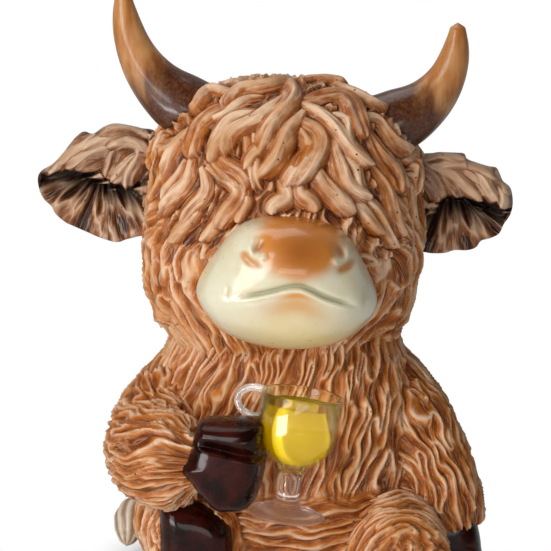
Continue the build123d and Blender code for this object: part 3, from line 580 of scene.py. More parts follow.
# The forelock: thick locks like ropes of clay that fall from the crown over the eyes, modelled on the head.
# Some are cupped with raised rims. Each is given by its root, bend and tip as seen from the front, across
# and up, then its width and how far it is cupped.
PIXEL = 0.21
VIEW_DISTANCE = 450.0
VIEW_DEPTH = -25.0
VIEW_PITCH = np.radians(8.0)
IMAGE_SIZE, MIDDLE_COLUMN, GROUND_ROW = 551, 285, 600
aim_across, aim_up = (IMAGE_SIZE / 2 - MIDDLE_COLUMN) * PIXEL, (GROUND_ROW - IMAGE_SIZE / 2) * PIXEL
view_target = np.array([aim_across, VIEW_DEPTH, aim_up])
view_from = view_target + VIEW_DISTANCE * np.array([0, -np.cos(VIEW_PITCH), np.sin(VIEW_PITCH)])
FORELOCK = [
    ((0.0, 108.6), (-6.5, 106.5), (-12.8, 102.7), 5.4, 0.10),
    ((-11.8, 106.0), (-16.6, 104.6), (-18.9, 102.1), 4.6, 0.10),
    ((-13.2, 102.9), (-17.2, 99.3), (-19.1, 92.4), 5.6, 0.55),
    ((-6.9, 101.6), (-12.4, 98.5), (-14.9, 91.6), 5.2, 0.10),
    ((-1.3, 104.2), (-8.4, 99.3), (-12.0, 93.2), 4.6, 0.10),
    ((0.8, 107.7), (-0.8, 102.1), (-5.2, 93.2), 5.0, 0.10),
    ((2.7, 100.8), (-0.4, 95.1), (-5.2, 88.8), 4.8, 0.05),
    ((-8.0, 96.6), (-7.1, 91.3), (-6.1, 86.1), 2.4, 0.00),
    ((-6.3, 96.6), (-5.9, 91.3), (-4.8, 86.1), 2.2, 0.00),
    ((5.2, 99.3), (6.5, 94.1), (0.8, 87.1), 5.6, 0.20),
    ((3.8, 97.2), (3.4, 92.0), (-0.4, 86.7), 3.8, 0.10),
    ((5.7, 102.9), (11.5, 97.2), (17.6, 91.1), 5.0, 0.05),
    ((7.3, 105.2), (13.7, 102.9), (16.0, 96.4), 6.4, 0.60),
    ((2.3, 109.2), (6.5, 108.8), (11.1, 107.1), 5.6, 0.30),
    ((10.7, 107.3), (15.8, 104.6), (20.2, 102.1), 4.8, 0.20),
    ((16.8, 101.2), (20.4, 98.1), (25.0, 93.9), 4.8, 0.10),
    ((18.1, 96.4), (21.2, 91.1), (22.9, 85.5), 5.8, 0.60),
    ((9.7, 95.8), (11.5, 89.2), (17.2, 84.4), 4.8, 0.10),
    ((11.5, 93.5), (14.9, 89.2), (17.0, 85.7), 3.6, 0.10),
    ((6.5, 89.9), (9.7, 85.3), (13.7, 81.1), 5.2, 0.15),
    ((3.1, 87.8), (4.0, 84.4), (5.7, 81.5), 5.0, 0.15),
    ((-0.2, 86.9), (-0.8, 84.0), (-2.7, 81.1), 4.8, 0.15),
    ((-14.1, 93.0), (-10.9, 89.7), (-8.2, 85.7), 5.4, 0.60),
    ((-19.3, 91.1), (-21.6, 85.7), (-25.0, 80.4), 4.6, 0.10),
    ((-16.6, 88.8), (-17.6, 84.0), (-20.6, 78.8), 4.4, 0.30),
    ((-12.4, 89.2), (-9.7, 84.0), (-13.9, 78.1), 4.8, 0.20),
    ((-9.4, 86.1), (-8.4, 83.0), (-9.9, 79.4), 3.4, 0.10),
    ((-18.9, 98.5), (-23.3, 92.4), (-26.2, 86.7), 5.0, 0.10),
    ((-21.6, 96.6), (-25.2, 94.5), (-28.8, 92.4), 4.6, 0.10),
    ((-24.1, 93.5), (-26.7, 88.6), (-27.9, 83.6), 4.2, 0.10),
    ((-27.9, 92.4), (-29.4, 88.8), (-30.0, 84.8), 4.0, 0.10),
    ((-21.0, 90.9), (-22.7, 87.1), (-24.1, 83.4), 4.2, 0.10),
    ((19.3, 89.2), (21.4, 83.2), (23.7, 76.6), 4.6, 0.10),
    ((23.7, 90.5), (26.9, 86.3), (29.2, 82.3), 4.8, 0.30),
    ((23.3, 94.1), (26.5, 92.6), (30.0, 90.3), 4.4, 0.20),
    ((20.8, 85.7), (24.4, 80.8), (26.7, 76.0), 4.4, 0.20),
    ((14.1, 84.8), (16.6, 81.5), (19.9, 77.3), 4.2, 0.10),
    ((17.0, 84.0), (19.9, 79.8), (22.5, 74.3), 4.0, 0.10),
    ((-6.3, 105.0), (-10.3, 102.5), (-14.5, 100.4), 3.8, 0.10),
    ((9.4, 101.2), (12.6, 98.7), (14.1, 94.5), 3.6, 0.10),
    ((-3.6, 98.7), (-4.8, 94.9), (-8.2, 90.3), 3.8, 0.05),
    ((-22.5, 100.8), (-25.6, 99.5), (-28.3, 97.0), 4.6, 0.20),
    ((-17.8, 84.0), (-19.9, 79.4), (-23.7, 74.3), 4.0, 0.10),
    ((-22.9, 83.0), (-25.0, 78.1), (-27.1, 72.7), 3.8, 0.10),
    ((-26.7, 83.0), (-27.9, 78.5), (-28.8, 73.5), 3.6, 0.10),
    ((25.2, 82.7), (26.7, 78.1), (27.1, 72.7), 3.8, 0.10),
    ((-10.3, 83.0), (-14.1, 79.4), (-17.0, 75.6), 3.6, 0.10),
]


LOCK_START = -0.2


def seen_points(rows, swing):
    """Lines through each row's root, bend and tip on an upright plane, swung aside and back by lengths."""
    root, bend, tip = (np.array([row[i] for row in rows]) for i in range(3))
    t = np.linspace(LOCK_START, 1, LOCK_STATIONS)[:, None, None]
    flat = root * (1 - t) ** 2 + (4 * bend - root - tip) * t * (1 - t) + tip * t**2
    square = unit(tip - root)[:, ::-1] * np.array([1, -1])
    flat = flat + square * np.sin(2 * np.pi * t) * swing[:, None]
    return np.stack([flat[..., 0], VIEW_DEPTH + 0 * flat[..., 0], flat[..., 1]], axis=-1)


CAST_BACK, CAST_ROUNDS, CAST_GAIN, CAST_LIMITS = 40, 40, 22, (-4, 30)


def cast_on_head(points):
    """Points slid along the line of sight to the head, by its level less one, stopped at its middle."""
    way = unit(points - view_from)
    points = points - way * CAST_BACK
    for _ in range(CAST_ROUNDS):
        points = points + way * np.clip((head_level(points) - 1) * CAST_GAIN, *CAST_LIMITS)[..., None]
        points = points - way * (np.maximum(points[..., 1] - HEAD_MIDDLE[1], 0) / way[..., 1])[..., None]
    return HEAD_MIDDLE + (points - HEAD_MIDDLE) / head_level(points)[..., None]


LOCK_SPREAD, LOCK_RISE = 1.15, 0.6
THREAD_GAUGE, THREAD_RUN, THREAD_HEIGHT, THREAD_CELLS = 1.5, 9, 0.42, 64
CLAY_SKEW, BETWEEN_FADE, OPEN_FADE, OPEN_PALE = 0.5, 0.6, (0.8, 3.0), 0.35


def clay_locks(points, path, outs, rows, between_relief, seed):
    """Heights of locks on a surface, threads on them and other hair between, and what their paint reads."""
    widths, grooves = (np.array([row[i] for row in rows]) for i in (3, 4))
    skews = np.random.default_rng(seed).uniform(-CLAY_SKEW, CLAY_SKEW, len(rows))
    spread, tall = widths * LOCK_SPREAD, widths * LOCK_RISE
    best, share, strand, run = lock_relief(points, path, outs, spread, tall, grooves, skews)
    between = smooth_step(-best, 0.0, BETWEEN_FADE)
    thread = ridges(swell(strand / THREAD_GAUGE, run / THREAD_RUN, THREAD_CELLS, seed + 1))
    thread = thread * np.clip(2 * share, 0, 1)
    heights = np.maximum(best, 0) + THREAD_HEIGHT * thread * (1 - between)
    heights = heights + HAIR_HEIGHT * between_relief * between
    open_hair = between_relief + OPEN_PALE * smooth_step(-best, *OPEN_FADE)
    crest = (0.8 * share + 0.25 * thread) * (1 - between) + open_hair * between
    return heights, {"crest": crest, "strand": strand, "run": run}


SHEET_ROWS, SHEET_COLUMNS, SHEET_BACK_COLUMNS = 285, 330, 16
SHEET_SINK, SHEET_BACK, SHEET_EDGE = 2.5, -4.0, (0.1, 0.5)
LOCK_SWING, FORELOCK_SEED, BETWEEN_SEED = 0.9, 90, 150
low, high, wide = np.radians(COVER_EDGES)
there, back = np.linspace(-wide, wide, SHEET_COLUMNS), np.linspace(wide, -wide, SHEET_BACK_COLUMNS)
aside = np.concatenate([there, back])[None]
up = np.linspace(low, high, SHEET_ROWS)[:, None]
ways = np.stack([np.sin(aside) + 0 * up, -np.cos(aside) * np.cos(up), np.cos(aside) * np.sin(up)], axis=-1)
ways = from_head(ways)
sheet = HEAD_MIDDLE + (ways - HEAD_MIDDLE) / head_level(ways)[..., None]
swing = RNG.uniform(-LOCK_SWING, LOCK_SWING, len(FORELOCK))
path = cast_on_head(seen_points(FORELOCK, swing))
down = (up - low) * HEAD_HALF_SIZES[0] + 0 * aside
turn = aside + np.pi + 0 * up
between_relief, _ = hair(turn, down, HEAD_GIRTH, HEAD_GAUGE, HEAD_RUN, HEAD_WAVE, BETWEEN_SEED)
heights, attributes = clay_locks(sheet, path, head_normals(path), FORELOCK, between_relief, FORELOCK_SEED)
cover = smooth_step(brow_cover(sheet), *SHEET_EDGE)
heights = heights * cover - SHEET_SINK * (1 - cover)
heights = np.where(np.arange(aside.size) < SHEET_COLUMNS, heights, SHEET_BACK)
forelock = grid_mesh("forelock", sheet + head_normals(sheet) * heights[..., None], attributes)
forelock_paint = coat_finish("forelock_paint", "562004", ("A05418", "BC6C28"), ("DCA678", "F6D0AC"))
forelock.data.materials.append(forelock_paint)

# The muzzle: a smooth casting let into the face, glossy ivory with nose and lower lip airbrushed orange.
# The mouth is a soft groove with a sharp lower edge, and each nostril is a dent with a cream rim round it.
# The groove is painted grey-green, a line with painted shade fading up above it, and the lower lip's edge has
# a painted highlight.
MUZZLE_PLACE = np.array([1.5, -25.7, -13.4])
MUZZLE_SIZE = np.array([37.6, 28.2])
MUZZLE_PROUD, MUZZLE_SEAT = 13.5, 6.0
MUZZLE_ROWS, MUZZLE_COLUMNS = 170, 300
MUZZLE_HALF_OUTLINE = [
    (0.0, 0.5), (0.26, 0.42), (0.41, 0.18), (0.5, -0.08), (0.45, -0.26), (0.29, -0.43), (0.0, -0.5),
]
MUZZLE_PROFILE = [
    (0.0, 0.96), (0.3, 1.0), (0.6, 0.93), (0.8, 0.77), (0.92, 0.55), (0.985, 0.28), (1.0, 0.002),
]
MOUTH_LINE = [
    (-10.2, -2.3), (-6.4, -1.4), (-2.9, -0.3), (-0.3, 0.6), (1.7, 0.95), (3.2, 0.8), (5.3, 0.0), (7.6, -1.0),
    (10.6, -1.9), (14.2, -2.6),
]
NOSE_MIDDLE, NOSE_HALF_SIZES = (1.8, 9.6), (9.0, 7.4)
NOSTRIL_SPREAD, NOSTRIL_LEVEL = 8.3, 8.0
RIM_REACH, CRESCENT_REACH = 1.8, 3.3
CHIN_MIDDLE = 1.6
MOUTH_DEPTH, LIP_RISE, CHIN_RISE, NOSTRIL_DEPTH, NOSTRIL_RIM = 0.9, 0.35, 0.4, 1.0, 0.55
CRESCENT_DEPTH, NOSE_RISE, DIMPLE_DEPTH = 0.35, 0.9, 0.15
FRONT_DEPTHS, MOUTH_RIGHT, MOUTH_LEFT = (2.0, 9.0), (-11.0, -6.0), (15.0, 10.0)
MOUTH_WIDTHS, LIP_DROP, LIP_WIDTH = (0.85, 0.3), 0.75, 0.45
CORE_MIDDLE, CORE_WIDTHS = (1.9, 8.0), (4.8, 4.0)
DIMPLES, DIMPLE_LEVEL, DIMPLE_WIDTHS = ((-12.2, 1.0), (15.6, 0.6)), -1.6, (0.5, 1.7)

half = MUZZLE_HALF_OUTLINE
outline = half + [(-x, z) for x, z in reversed(half[1:-1])]
outline = through(outline, MUZZLE_COLUMNS, closed=True) * MUZZLE_SIZE
profile = through(MUZZLE_PROFILE, MUZZLE_ROWS)
muzzle_x, muzzle_z = (outline[None] * profile[:, 1:, None]).transpose(2, 0, 1)
forward = (profile[:, :1] * (MUZZLE_SEAT + MUZZLE_PROUD) - MUZZLE_SEAT) + 0 * muzzle_x
front = smooth_step(forward, *FRONT_DEPTHS)
above = muzzle_z - np.interp(muzzle_x, *through(MOUTH_LINE, 80).T)
ends = smooth_step(muzzle_x, *MOUTH_RIGHT) * smooth_step(muzzle_x, *MOUTH_LEFT) * front
# The groove's mask also carries its painted grey-green line and the painted shade above it.
mouth = hump(above, np.where(above > 0, *MOUTH_WIDTHS)) * ends
# The lip's mask carries a painted highlight along the lower lip's edge.
lip = hump(above + LIP_DROP, LIP_WIDTH) * ends
dent = rim = crescent = 0 * muzzle_x
for side in (-1, 1):
    over, up = (muzzle_x - NOSE_MIDDLE[0]) * side - NOSTRIL_SPREAD, muzzle_z - NOSTRIL_LEVEL
    far, bearing = np.hypot(over, up), np.arctan2(up, over)
    low_side = smooth_step(np.cos(bearing + 0.9), -0.3, 0.5)
    dent = dent + np.exp(-((0.8 * over + 0.6 * up) ** 2) - ((0.8 * up - 0.6 * over) / 2.1) ** 2) * front
    rim = rim + hump(far - RIM_REACH, 0.65) * low_side * front
    outer_side = smooth_step(np.cos(bearing + 1.0), 0.6, 0.95)
    # The crescent is a groove painted orange, partly airbrush and partly painted shade in the fold.
    crescent = crescent + hump(far - CRESCENT_REACH, 1.15) * outer_side * front
nose_x = (muzzle_x - NOSE_MIDDLE[0]) / NOSE_HALF_SIZES[0]
nose_z = (muzzle_z - NOSE_MIDDLE[1]) / NOSE_HALF_SIZES[1]
nose = np.exp(-((nose_x**2 + nose_z**2) ** 2))
core = hump(muzzle_x - CORE_MIDDLE[0], CORE_WIDTHS[0]) * hump(muzzle_z - CORE_MIDDLE[1], CORE_WIDTHS[1])
dimple = sum(share * hump(muzzle_x - place, DIMPLE_WIDTHS[0]) for place, share in DIMPLES)
dimple = dimple * hump(muzzle_z - DIMPLE_LEVEL, DIMPLE_WIDTHS[1]) * front
depth = (
    MOUTH_DEPTH * mouth - LIP_RISE * lip - CHIN_RISE * hump(above + 1.8, 1.6) * ends
    + NOSTRIL_DEPTH * dent - NOSTRIL_RIM * rim + CRESCENT_DEPTH * crescent
    - NOSE_RISE * nose * front + DIMPLE_DEPTH * dimple
)
muzzle_points = np.stack([muzzle_x, depth - forward, muzzle_z], axis=-1) + MUZZLE_PLACE
blush = hump(above + 3.6, 2.2) * hump(muzzle_x - CHIN_MIDDLE, 6.0) * ends
blush = blush + 1.1 * hump(above + 1.6, 0.6) * hump(muzzle_x - CHIN_MIDDLE, 3.0)
low = smooth_step(-above, 1.5, 9.0) * smooth_step(muzzle_x, -16.0, 0.0)
layers = {
    "low": low, "lip": lip, "dimple": dimple, "mouth": mouth, "dent": dent,
    "core": core, "crescent": crescent, "rim": rim, "nose": nose, "blush": blush,
}
layers = {key: values[:, ::-1] for key, values in layers.items()}
muzzle = grid_mesh("muzzle_casting", from_head(muzzle_points)[:, ::-1], layers)
muzzle_paint, paint = new_finish("muzzle_paint", Coat_Weight=0.5, Coat_Roughness=0.08)
cloud, fine = paint.noise(6.0), paint.noise(1.2)
ivory = cloud.step(0.3, 0.75).mix(shown("EFE8CC"), shown("E8DBB2"))
ivory = (paint.attribute("low") * 0.7).mix(ivory, shown("F4DA9C"))
airbrush = (paint.attribute("nose") + 0.25 * cloud - 0.14).step(0.02, 0.75)
colour = (airbrush * 0.97).mix(ivory, shown("E08C34"))
colour = ((paint.attribute("nose") + 0.3 * cloud - 0.1).step(0.6, 1.2) * 0.4).mix(colour, shown("C06C20"))
# The lip's cream is a painted highlight, and the mouth's grey-green is a painted line with painted shade
# above it.
for layer, edges, strength, tone in (
    ("core", (), 0.8, "A2581C"),
    ("rim", (), 0.9, "F3E9C4"),
    # The crescent's orange is partly airbrush and partly painted shade in the fold.
    ("crescent", (0.15, 0.95), 0.85, "D2832C"),
    ("dent", (0.3, 1.0), 0.8, "B2692D"),
    ("blush", (), 0.75, "E39A45"),
    ("lip", (), 0.8, "F8EFCB"),
    ("dimple", (), 0.6, "CDB878"),
    ("mouth", (0.1, 1.0), 0.7, "94926C"),
):
    mask = paint.attribute(layer)
    mask = mask.step(*edges) if edges else mask
    colour = (mask * strength).mix(colour, shown(tone))
paint.feed("Base Color", colour)
paint.feed("Roughness", 0.22 + 0.16 * fine)
paint.bump(fine, 0.12, 0.25)
fitted(muzzle, muzzle_paint, "muzzle")

# The horns: two solid castings with roots let into the head, bent outwards and then up, not quite alike.
# They are painted caramel over a speckled purplish-brown root and have the same satin lacquer.
HORNS = {
    "right_horn": [(-18.5, 0, 18), (-36.5, 0, 24), (-38.0, -2, 44.5)],
    "left_horn": [(18.5, 0, 18), (36.5, 0, 24), (34.4, -2, 42.0)],
}
HORN_PLACES = np.array([0.0, 0.18, 0.36, 0.62, 0.8, 0.93, 1.0])
HORN_RADII = np.array([7.0, 6.86, 5.53, 4.06, 3.15, 2.1, 1.1])
HORN_ROWS, HORN_TIP_ROWS, HORN_COLUMNS = 70, 14, 56
HORN_TIP_SHARE, HORN_ROUND_SHARE = 0.03, 0.955
SMOOTHING_ROWS = 4
horn_paint, paint = new_finish("horn_paint", Coat_Weight=0.45, Coat_Roughness=0.14, Specular_IOR_Level=0.25)
along = paint.attribute("along")
streak = paint.noise(3.0, 4.0, (1, 1, 0.25))
speck = paint.noise(0.6)
root = 1 - (along + 0.35 * streak - 0.17).step(0.3, 0.62)
caramel = streak.step(0.3, 0.7).mix(shown("B26C30"), shown("D29A62"))
dark = (speck + 0.15 * paint.spots(1.4, 0.1, 0.5)).step(0.35, 0.75)
dark = dark.mix(shown("46220E"), shown("6A3C20"))
paint.feed("Base Color", root.mix(caramel, dark))
paint.feed("Roughness", 0.3 + 0.2 * speck)
paint.bump(0.5 * speck + paint.noise(1.6, 2.0, (1, 1, 0.3)), 0.35, 0.3)
for name, points in HORNS.items():
    root, bend, tip = from_head(np.array(points, float))
    tip_places = 1 - HORN_TIP_SHARE * np.linspace(1, 0, HORN_TIP_ROWS)[1:] ** 2
    t = np.concatenate([np.linspace(0, 1 - HORN_TIP_SHARE, HORN_ROWS), tip_places])[:, None]
    line = root * (1 - t) ** 2 + 2 * bend * t * (1 - t) + tip * t**2
    radii = np.interp(t[:, 0], HORN_PLACES, HORN_RADII)
    window = 2 * SMOOTHING_ROWS + 1
    radii = np.convolve(np.pad(radii, SMOOTHING_ROWS, "edge"), np.ones(window) / window, "valid")
    close = np.sqrt(np.maximum(1 - smooth_step(t[:, 0], HORN_ROUND_SHARE, 1.0) ** 2, 0.0004))
    points = tube_points(line, radii * close, np.array([0.0, 1.0, 0.0]), HORN_COLUMNS)
    horn = grid_mesh(name + "_casting", points, {"along": t + 0 * points[..., 0]})
    fitted(horn, horn_paint, name)

# The ears: hollowed leaves let into the sides of the head, with a shaggy upper edge over the hollow.
# The hollow just under the flap is painted nearly black as painted shade, and ridges run from it to the lower
# edge with pale dry-brushed crests.
# Each has its outline, the edge of the hollow, the point that the ridges run from, and its locks.
EAR_DEPTH = -1.0
EAR_COLUMNS, EAR_INSIDE_ROWS, EAR_BRINK_ROWS, EAR_BACK_ROWS = 520, 70, 12, 13
EAR_BRINK, FRONT_HOLE, BACK_HOLE = 0.9, 0.004, 0.01
FLAP_PROUD, EAR_BACK = 3.6, 4.5
SHELL_DEPTH, SHELL_RISE, SHELL_WIDTH, FAN_HEIGHT = -3.4, 4.4, 8.0, 1.5
FAN_COUNT, FINE_FAN_COUNT, FAN_THREADS = 4.2, 9, 9.0
EAR_LOCK_SWING, EAR_SEED, EAR_HAIR_SEED, FAN_SEED = 0.5, 200, 210, 300
EARS = {
    "right_ear": (
        [(-26.3, 97.5), (-26.0, 88.0), (-27.5, 77.5), (-30.8, 76.4), (-33.2, 75.8), (-35.3, 75.2),
         (-38.6, 76.1), (-41.6, 77.4), (-44.3, 78.6), (-46.1, 79.5), (-48.0, 81.2), (-48.8, 82.7),
         (-50.3, 84.2), (-51.2, 85.9), (-51.6, 88.5), (-50.8, 90.2), (-48.4, 91.7), (-46.3, 93.9),
         (-44.8, 95.8), (-43.3, 97.5), (-41.8, 98.4), (-39.9, 98.0), (-37.7, 99.4), (-35.1, 100.1),
         (-30.2, 99.2)],
        [(-52.0, 89.8), (-46.4, 90.3), (-43.3, 89.9), (-40.3, 89.5), (-38.0, 88.4), (-36.1, 87.4),
         (-34.2, 87.4), (-30.9, 86.7), (-26.0, 86.0)],
        (-37.0, 92.0),
        [
            ((-29.2, 94.5), (-33.6, 96.4), (-37.2, 94.9), 4.2, 0.20),
            ((-28.8, 93.2), (-33.0, 91.3), (-36.3, 87.8), 5.4, 0.50),
            ((-33.0, 94.5), (-35.7, 92.2), (-37.4, 88.6), 4.6, 0.60),
            ((-36.8, 94.5), (-40.1, 92.4), (-43.7, 90.3), 4.6, 0.40),
            ((-37.4, 95.5), (-42.0, 93.5), (-45.8, 90.7), 4.0, 0.10),
            ((-39.5, 98.1), (-43.3, 95.3), (-47.2, 91.3), 3.8, 0.10),
            ((-30.4, 98.3), (-34.9, 99.3), (-39.3, 97.6), 5.4, 0.20),
            ((-44.5, 92.8), (-47.9, 90.7), (-51.0, 88.2), 4.0, 0.20),
            ((-47.7, 90.7), (-50.2, 88.4), (-51.0, 86.1), 3.8, 0.10),
            ((-34.6, 96.6), (-38.9, 96.2), (-42.2, 94.5), 3.8, 0.10),
            ((-30.4, 95.3), (-31.7, 90.7), (-33.0, 86.1), 4.2, 0.10),
            ((-41.4, 96.2), (-45.1, 93.9), (-48.7, 91.1), 3.4, 0.10),
        ],
    ),
    "left_ear": (
        [(31.1, 94.0), (33.3, 94.1), (35.8, 94.0), (37.3, 93.8), (38.0, 92.7), (39.8, 92.0), (42.4, 91.2),
         (44.0, 90.9), (44.8, 89.6), (45.5, 88.1), (46.8, 87.0), (47.4, 85.6), (47.6, 83.2), (47.1, 81.0),
         (45.8, 79.0), (44.8, 77.0), (42.9, 76.0), (41.1, 75.5), (40.0, 74.1), (38.2, 73.5), (35.5, 73.5),
         (33.3, 72.9), (29.7, 73.0), (26.5, 74.5), (25.5, 84.0), (26.6, 92.6)],
        [(25.0, 83.0), (30.9, 82.5), (32.8, 84.6), (35.9, 84.8), (38.6, 84.2), (41.4, 83.4), (43.7, 82.7),
         (47.8, 82.0)],
        (35.0, 88.0),
        [
            ((29.2, 92.8), (33.6, 93.7), (38.0, 92.8), 4.2, 0.20),
            ((29.2, 91.1), (35.9, 91.6), (44.3, 88.4), 4.6, 0.20),
            ((30.0, 90.9), (36.8, 87.8), (41.2, 83.8), 4.2, 0.10),
            ((25.8, 89.0), (30.4, 88.0), (32.5, 83.6), 5.6, 0.50),
            ((31.9, 89.9), (35.3, 86.9), (36.8, 84.4), 4.4, 0.50),
            ((37.2, 91.1), (41.6, 88.0), (44.5, 83.8), 4.6, 0.10),
            ((42.0, 90.9), (44.9, 88.6), (46.8, 85.0), 4.4, 0.20),
            ((43.9, 87.4), (45.8, 85.0), (45.1, 82.3), 3.8, 0.20),
            ((32.5, 92.0), (38.0, 90.7), (42.6, 86.9), 3.6, 0.10),
            ((38.9, 89.9), (40.9, 87.4), (41.8, 84.8), 3.2, 0.10),
        ],
    ),
}
ear_paint = coat_finish("ear_paint", "2E130A", ("6E3B1C", "935729"), ("CFA382", "E6C4A4"))
inside = np.linspace(FRONT_HOLE, EAR_BRINK, EAR_INSIDE_ROWS)
brink = np.linspace(EAR_BRINK, 1.0, EAR_BRINK_ROWS + 1)[1:]
ring = np.concatenate([inside, brink, np.linspace(1.0, BACK_HOLE, EAR_BACK_ROWS + 1)[1:]])[:, None]
front = np.arange(len(ring))[:, None] < EAR_INSIDE_ROWS + EAR_BRINK_ROWS
for name, (outline, slit, pivot, rows) in EARS.items():
    rim = through(outline, EAR_COLUMNS, closed=True)
    middle = rim.mean(0)
    flat = middle + ring[..., None] * (rim - middle)
    across, up = flat[..., 0], flat[..., 1]
    seen = np.stack([across, VIEW_DEPTH + 0 * across, up], axis=-1)
    swing = RNG.uniform(-EAR_LOCK_SWING, EAR_LOCK_SWING, len(rows))
    path = seen_points(rows, swing)
    outs = np.broadcast_to(np.array([0.0, -1.0, 0.0]), path.shape)
    between_relief = ridges(swell(up / 2.4 + 40, across / 8 + 20, THREAD_CELLS, EAR_HAIR_SEED)) ** 1.5
    locks, attributes = clay_locks(seen, path, outs, rows, between_relief, EAR_SEED + len(rows))
    above = up - np.interp(across, *through(slit, 60).T)
    spoke, reach = np.arctan2(*(flat - pivot).transpose(2, 0, 1)), np.linalg.norm(flat - pivot, axis=-1)
    fine = 0.25 * swell(spoke * FINE_FAN_COUNT + 40, reach / 5, THREAD_CELLS, FAN_SEED + 1)
    fan = ridges(swell(spoke * FAN_COUNT + 20, reach / 9, THREAD_CELLS, FAN_SEED) + fine)
    flap = smooth_step(above + 1.8 * attributes["crest"] - 0.7, -0.3, 0.4)
    shell = SHELL_DEPTH + SHELL_RISE * smooth_step(-above, 0.0, SHELL_WIDTH) + FAN_HEIGHT * fan**1.5
    proud = flap * (FLAP_PROUD + locks) + (1 - flap) * shell
    edge = np.sqrt(np.maximum(1 - ring**8, 0))
    proud = np.where(front, proud * edge, -EAR_BACK * np.sqrt(np.maximum(1 - ring**4, 0)))
    way = seen - view_from
    points = view_from + way * ((EAR_DEPTH - proud - view_from[1]) / way[..., 1])[..., None]
    attributes["crest"] = np.where(front, flap * attributes["crest"] + (1 - flap) * 0.9 * fan, 0.4)
    attributes["strand"] = np.where(flap > 0.5, attributes["strand"], FAN_THREADS * spoke)
    attributes["run"] = np.where(flap > 0.5, attributes["run"], reach)
    # Painted shade: nearly black in the hollow just under the flap.
    attributes["shade"] = (1 - flap) * smooth_step(-above, 7.0, 0.5) * front
    fitted(grid_mesh(name + "_casting", points, attributes), ear_paint, name)

# The hooves: blocks glued over the ends of the limbs, painted a reddish black under thick gloss.
# A cleft is cut across the one that holds the glass. Each has its place, its ways across and up, how far it
# stands out ahead and behind, and its outline.
FORE_HOOF = [
    (-3.3, -0.6), (-2.0, 1.6), (-1.0, 4.0), (-0.4, 6.6), (0.5, 8.9), (1.9, 9.9), (6.8, 10.1), (12.0, 10.3),
    (13.9, 9.7), (14.4, 8.3), (14.1, 3.9), (13.7, -1.2), (12.6, -5.4), (11.8, -7.2), (10.1, -8.9),
    (7.2, -9.3), (4.8, -9.3), (3.1, -8.1), (0.8, -5.6), (-0.8, -3.6),
]
GROUND_HOOF = [
    (-6.6, -1.8), (0.0, -1.2), (6.6, -1.8), (7.4, -5.0), (7.5, -10.0), (6.6, -12.8), (0.0, -13.2),
    (-6.6, -12.8), (-7.5, -10.0), (-7.4, -5.0),
]
SOLE = [
    (-7.6, 8.0), (-4.0, 8.9), (0.5, 8.1), (4.0, 6.3), (6.6, 3.8), (7.5, 0.8), (7.6, -4.0), (6.4, -8.2),
    (2.0, -9.6), (-3.0, -9.6), (-6.6, -8.4), (-7.8, -4.0), (-8.0, 2.0),
]
LOW_SOLE_SHARE = 0.62
LOW_SOLE = [(x, LOW_SOLE_SHARE * z) for x, z in SOLE]
HOOVES = {
    "right_front_hoof": ((-18.0, -37.3, 30.5), (1.0, -0.16, 0.0), (0, 0, 1), (8.2, 7.0), FORE_HOOF),
    "left_front_hoof": ((34.3, -9.5, 15.0), (1, 0, 0.16), (-0.16, 0.1, 1.0), (7.5, 7.5), GROUND_HOOF),
    "right_hind_hoof": ((-18.6, -28.1, 12.4), (1, 0.05, 0), (0, 0.03, 1), (7.2, 1.0), SOLE),
    "left_hind_hoof": ((25.2, -30.0, 6.2), (1, 0.14, 0), (0, -0.12, 1), (7.2, 1.0), LOW_SOLE),
}
HOOF_FRONT_ROWS, HOOF_BACK_ROWS, HOOF_COLUMNS = 70, 40, 240
CLEFT_LINE = np.array([(-3.0, 5.8), (2.6, 5.0), (11.8, 3.1), (15.0, 2.2)])
CLEFT_DEPTH, CLEFT_EDGES, CLEFT_RUN = 2.0, (0.4, 1.6), (0.0, 4.0)
hoof_paint, paint = new_finish("hoof_paint", Coat_Weight=0.32, Coat_Roughness=0.1, Specular_IOR_Level=0.05)
cloud, speck = paint.noise(5.0), paint.noise(0.8)
paint.feed("Base Color", cloud.step(0.35, 0.7).mix(shown("180502"), shown("40120A")))
paint.feed("Roughness", 0.18 + 0.2 * speck)
paint.bump(0.8 * paint.noise(2.4) + 0.25 * speck, 0.45, 0.4)
ahead_bend = np.linspace(FRONT_HOLE, np.pi / 2, HOOF_FRONT_ROWS)
behind_bend = np.linspace(np.pi / 2, np.pi - BACK_HOLE, HOOF_BACK_ROWS)[1:]
ring = np.sin(np.concatenate([ahead_bend, behind_bend]))[:, None]
front = np.arange(len(ring))[:, None] < HOOF_FRONT_ROWS
for name, (place, across, up, (ahead, behind), outline) in HOOVES.items():
    across, up = unit(np.array(across, float)), unit(np.array(up, float))
    toward = np.cross(across, up)
    rim = through(outline, HOOF_COLUMNS, closed=True)
    middle = rim.mean(0)
    x, z = (middle + ring[..., None] * (rim - middle)).transpose(2, 0, 1)
    bulge = np.maximum(1 - ring**4, 0) ** 0.4
    proud = np.where(front, ahead * bulge, -behind * bulge) + 0 * x
    if name == "right_front_hoof":
        level = np.interp(x, *CLEFT_LINE.T)
        edge = np.where(z < level, *CLEFT_EDGES)
        cleft = CLEFT_DEPTH * hump(z - level, edge) * smooth_step(x, *CLEFT_RUN)
        proud = np.where(front, proud - cleft, proud)
    points = np.array(place) + x[..., None] * across + z[..., None] * up + proud[..., None] * toward
    points[..., 2] = np.maximum(points[..., 2], FLOOR_CLEARANCE)
    fitted(grid_mesh(name + "_casting", points), hoof_paint, name)

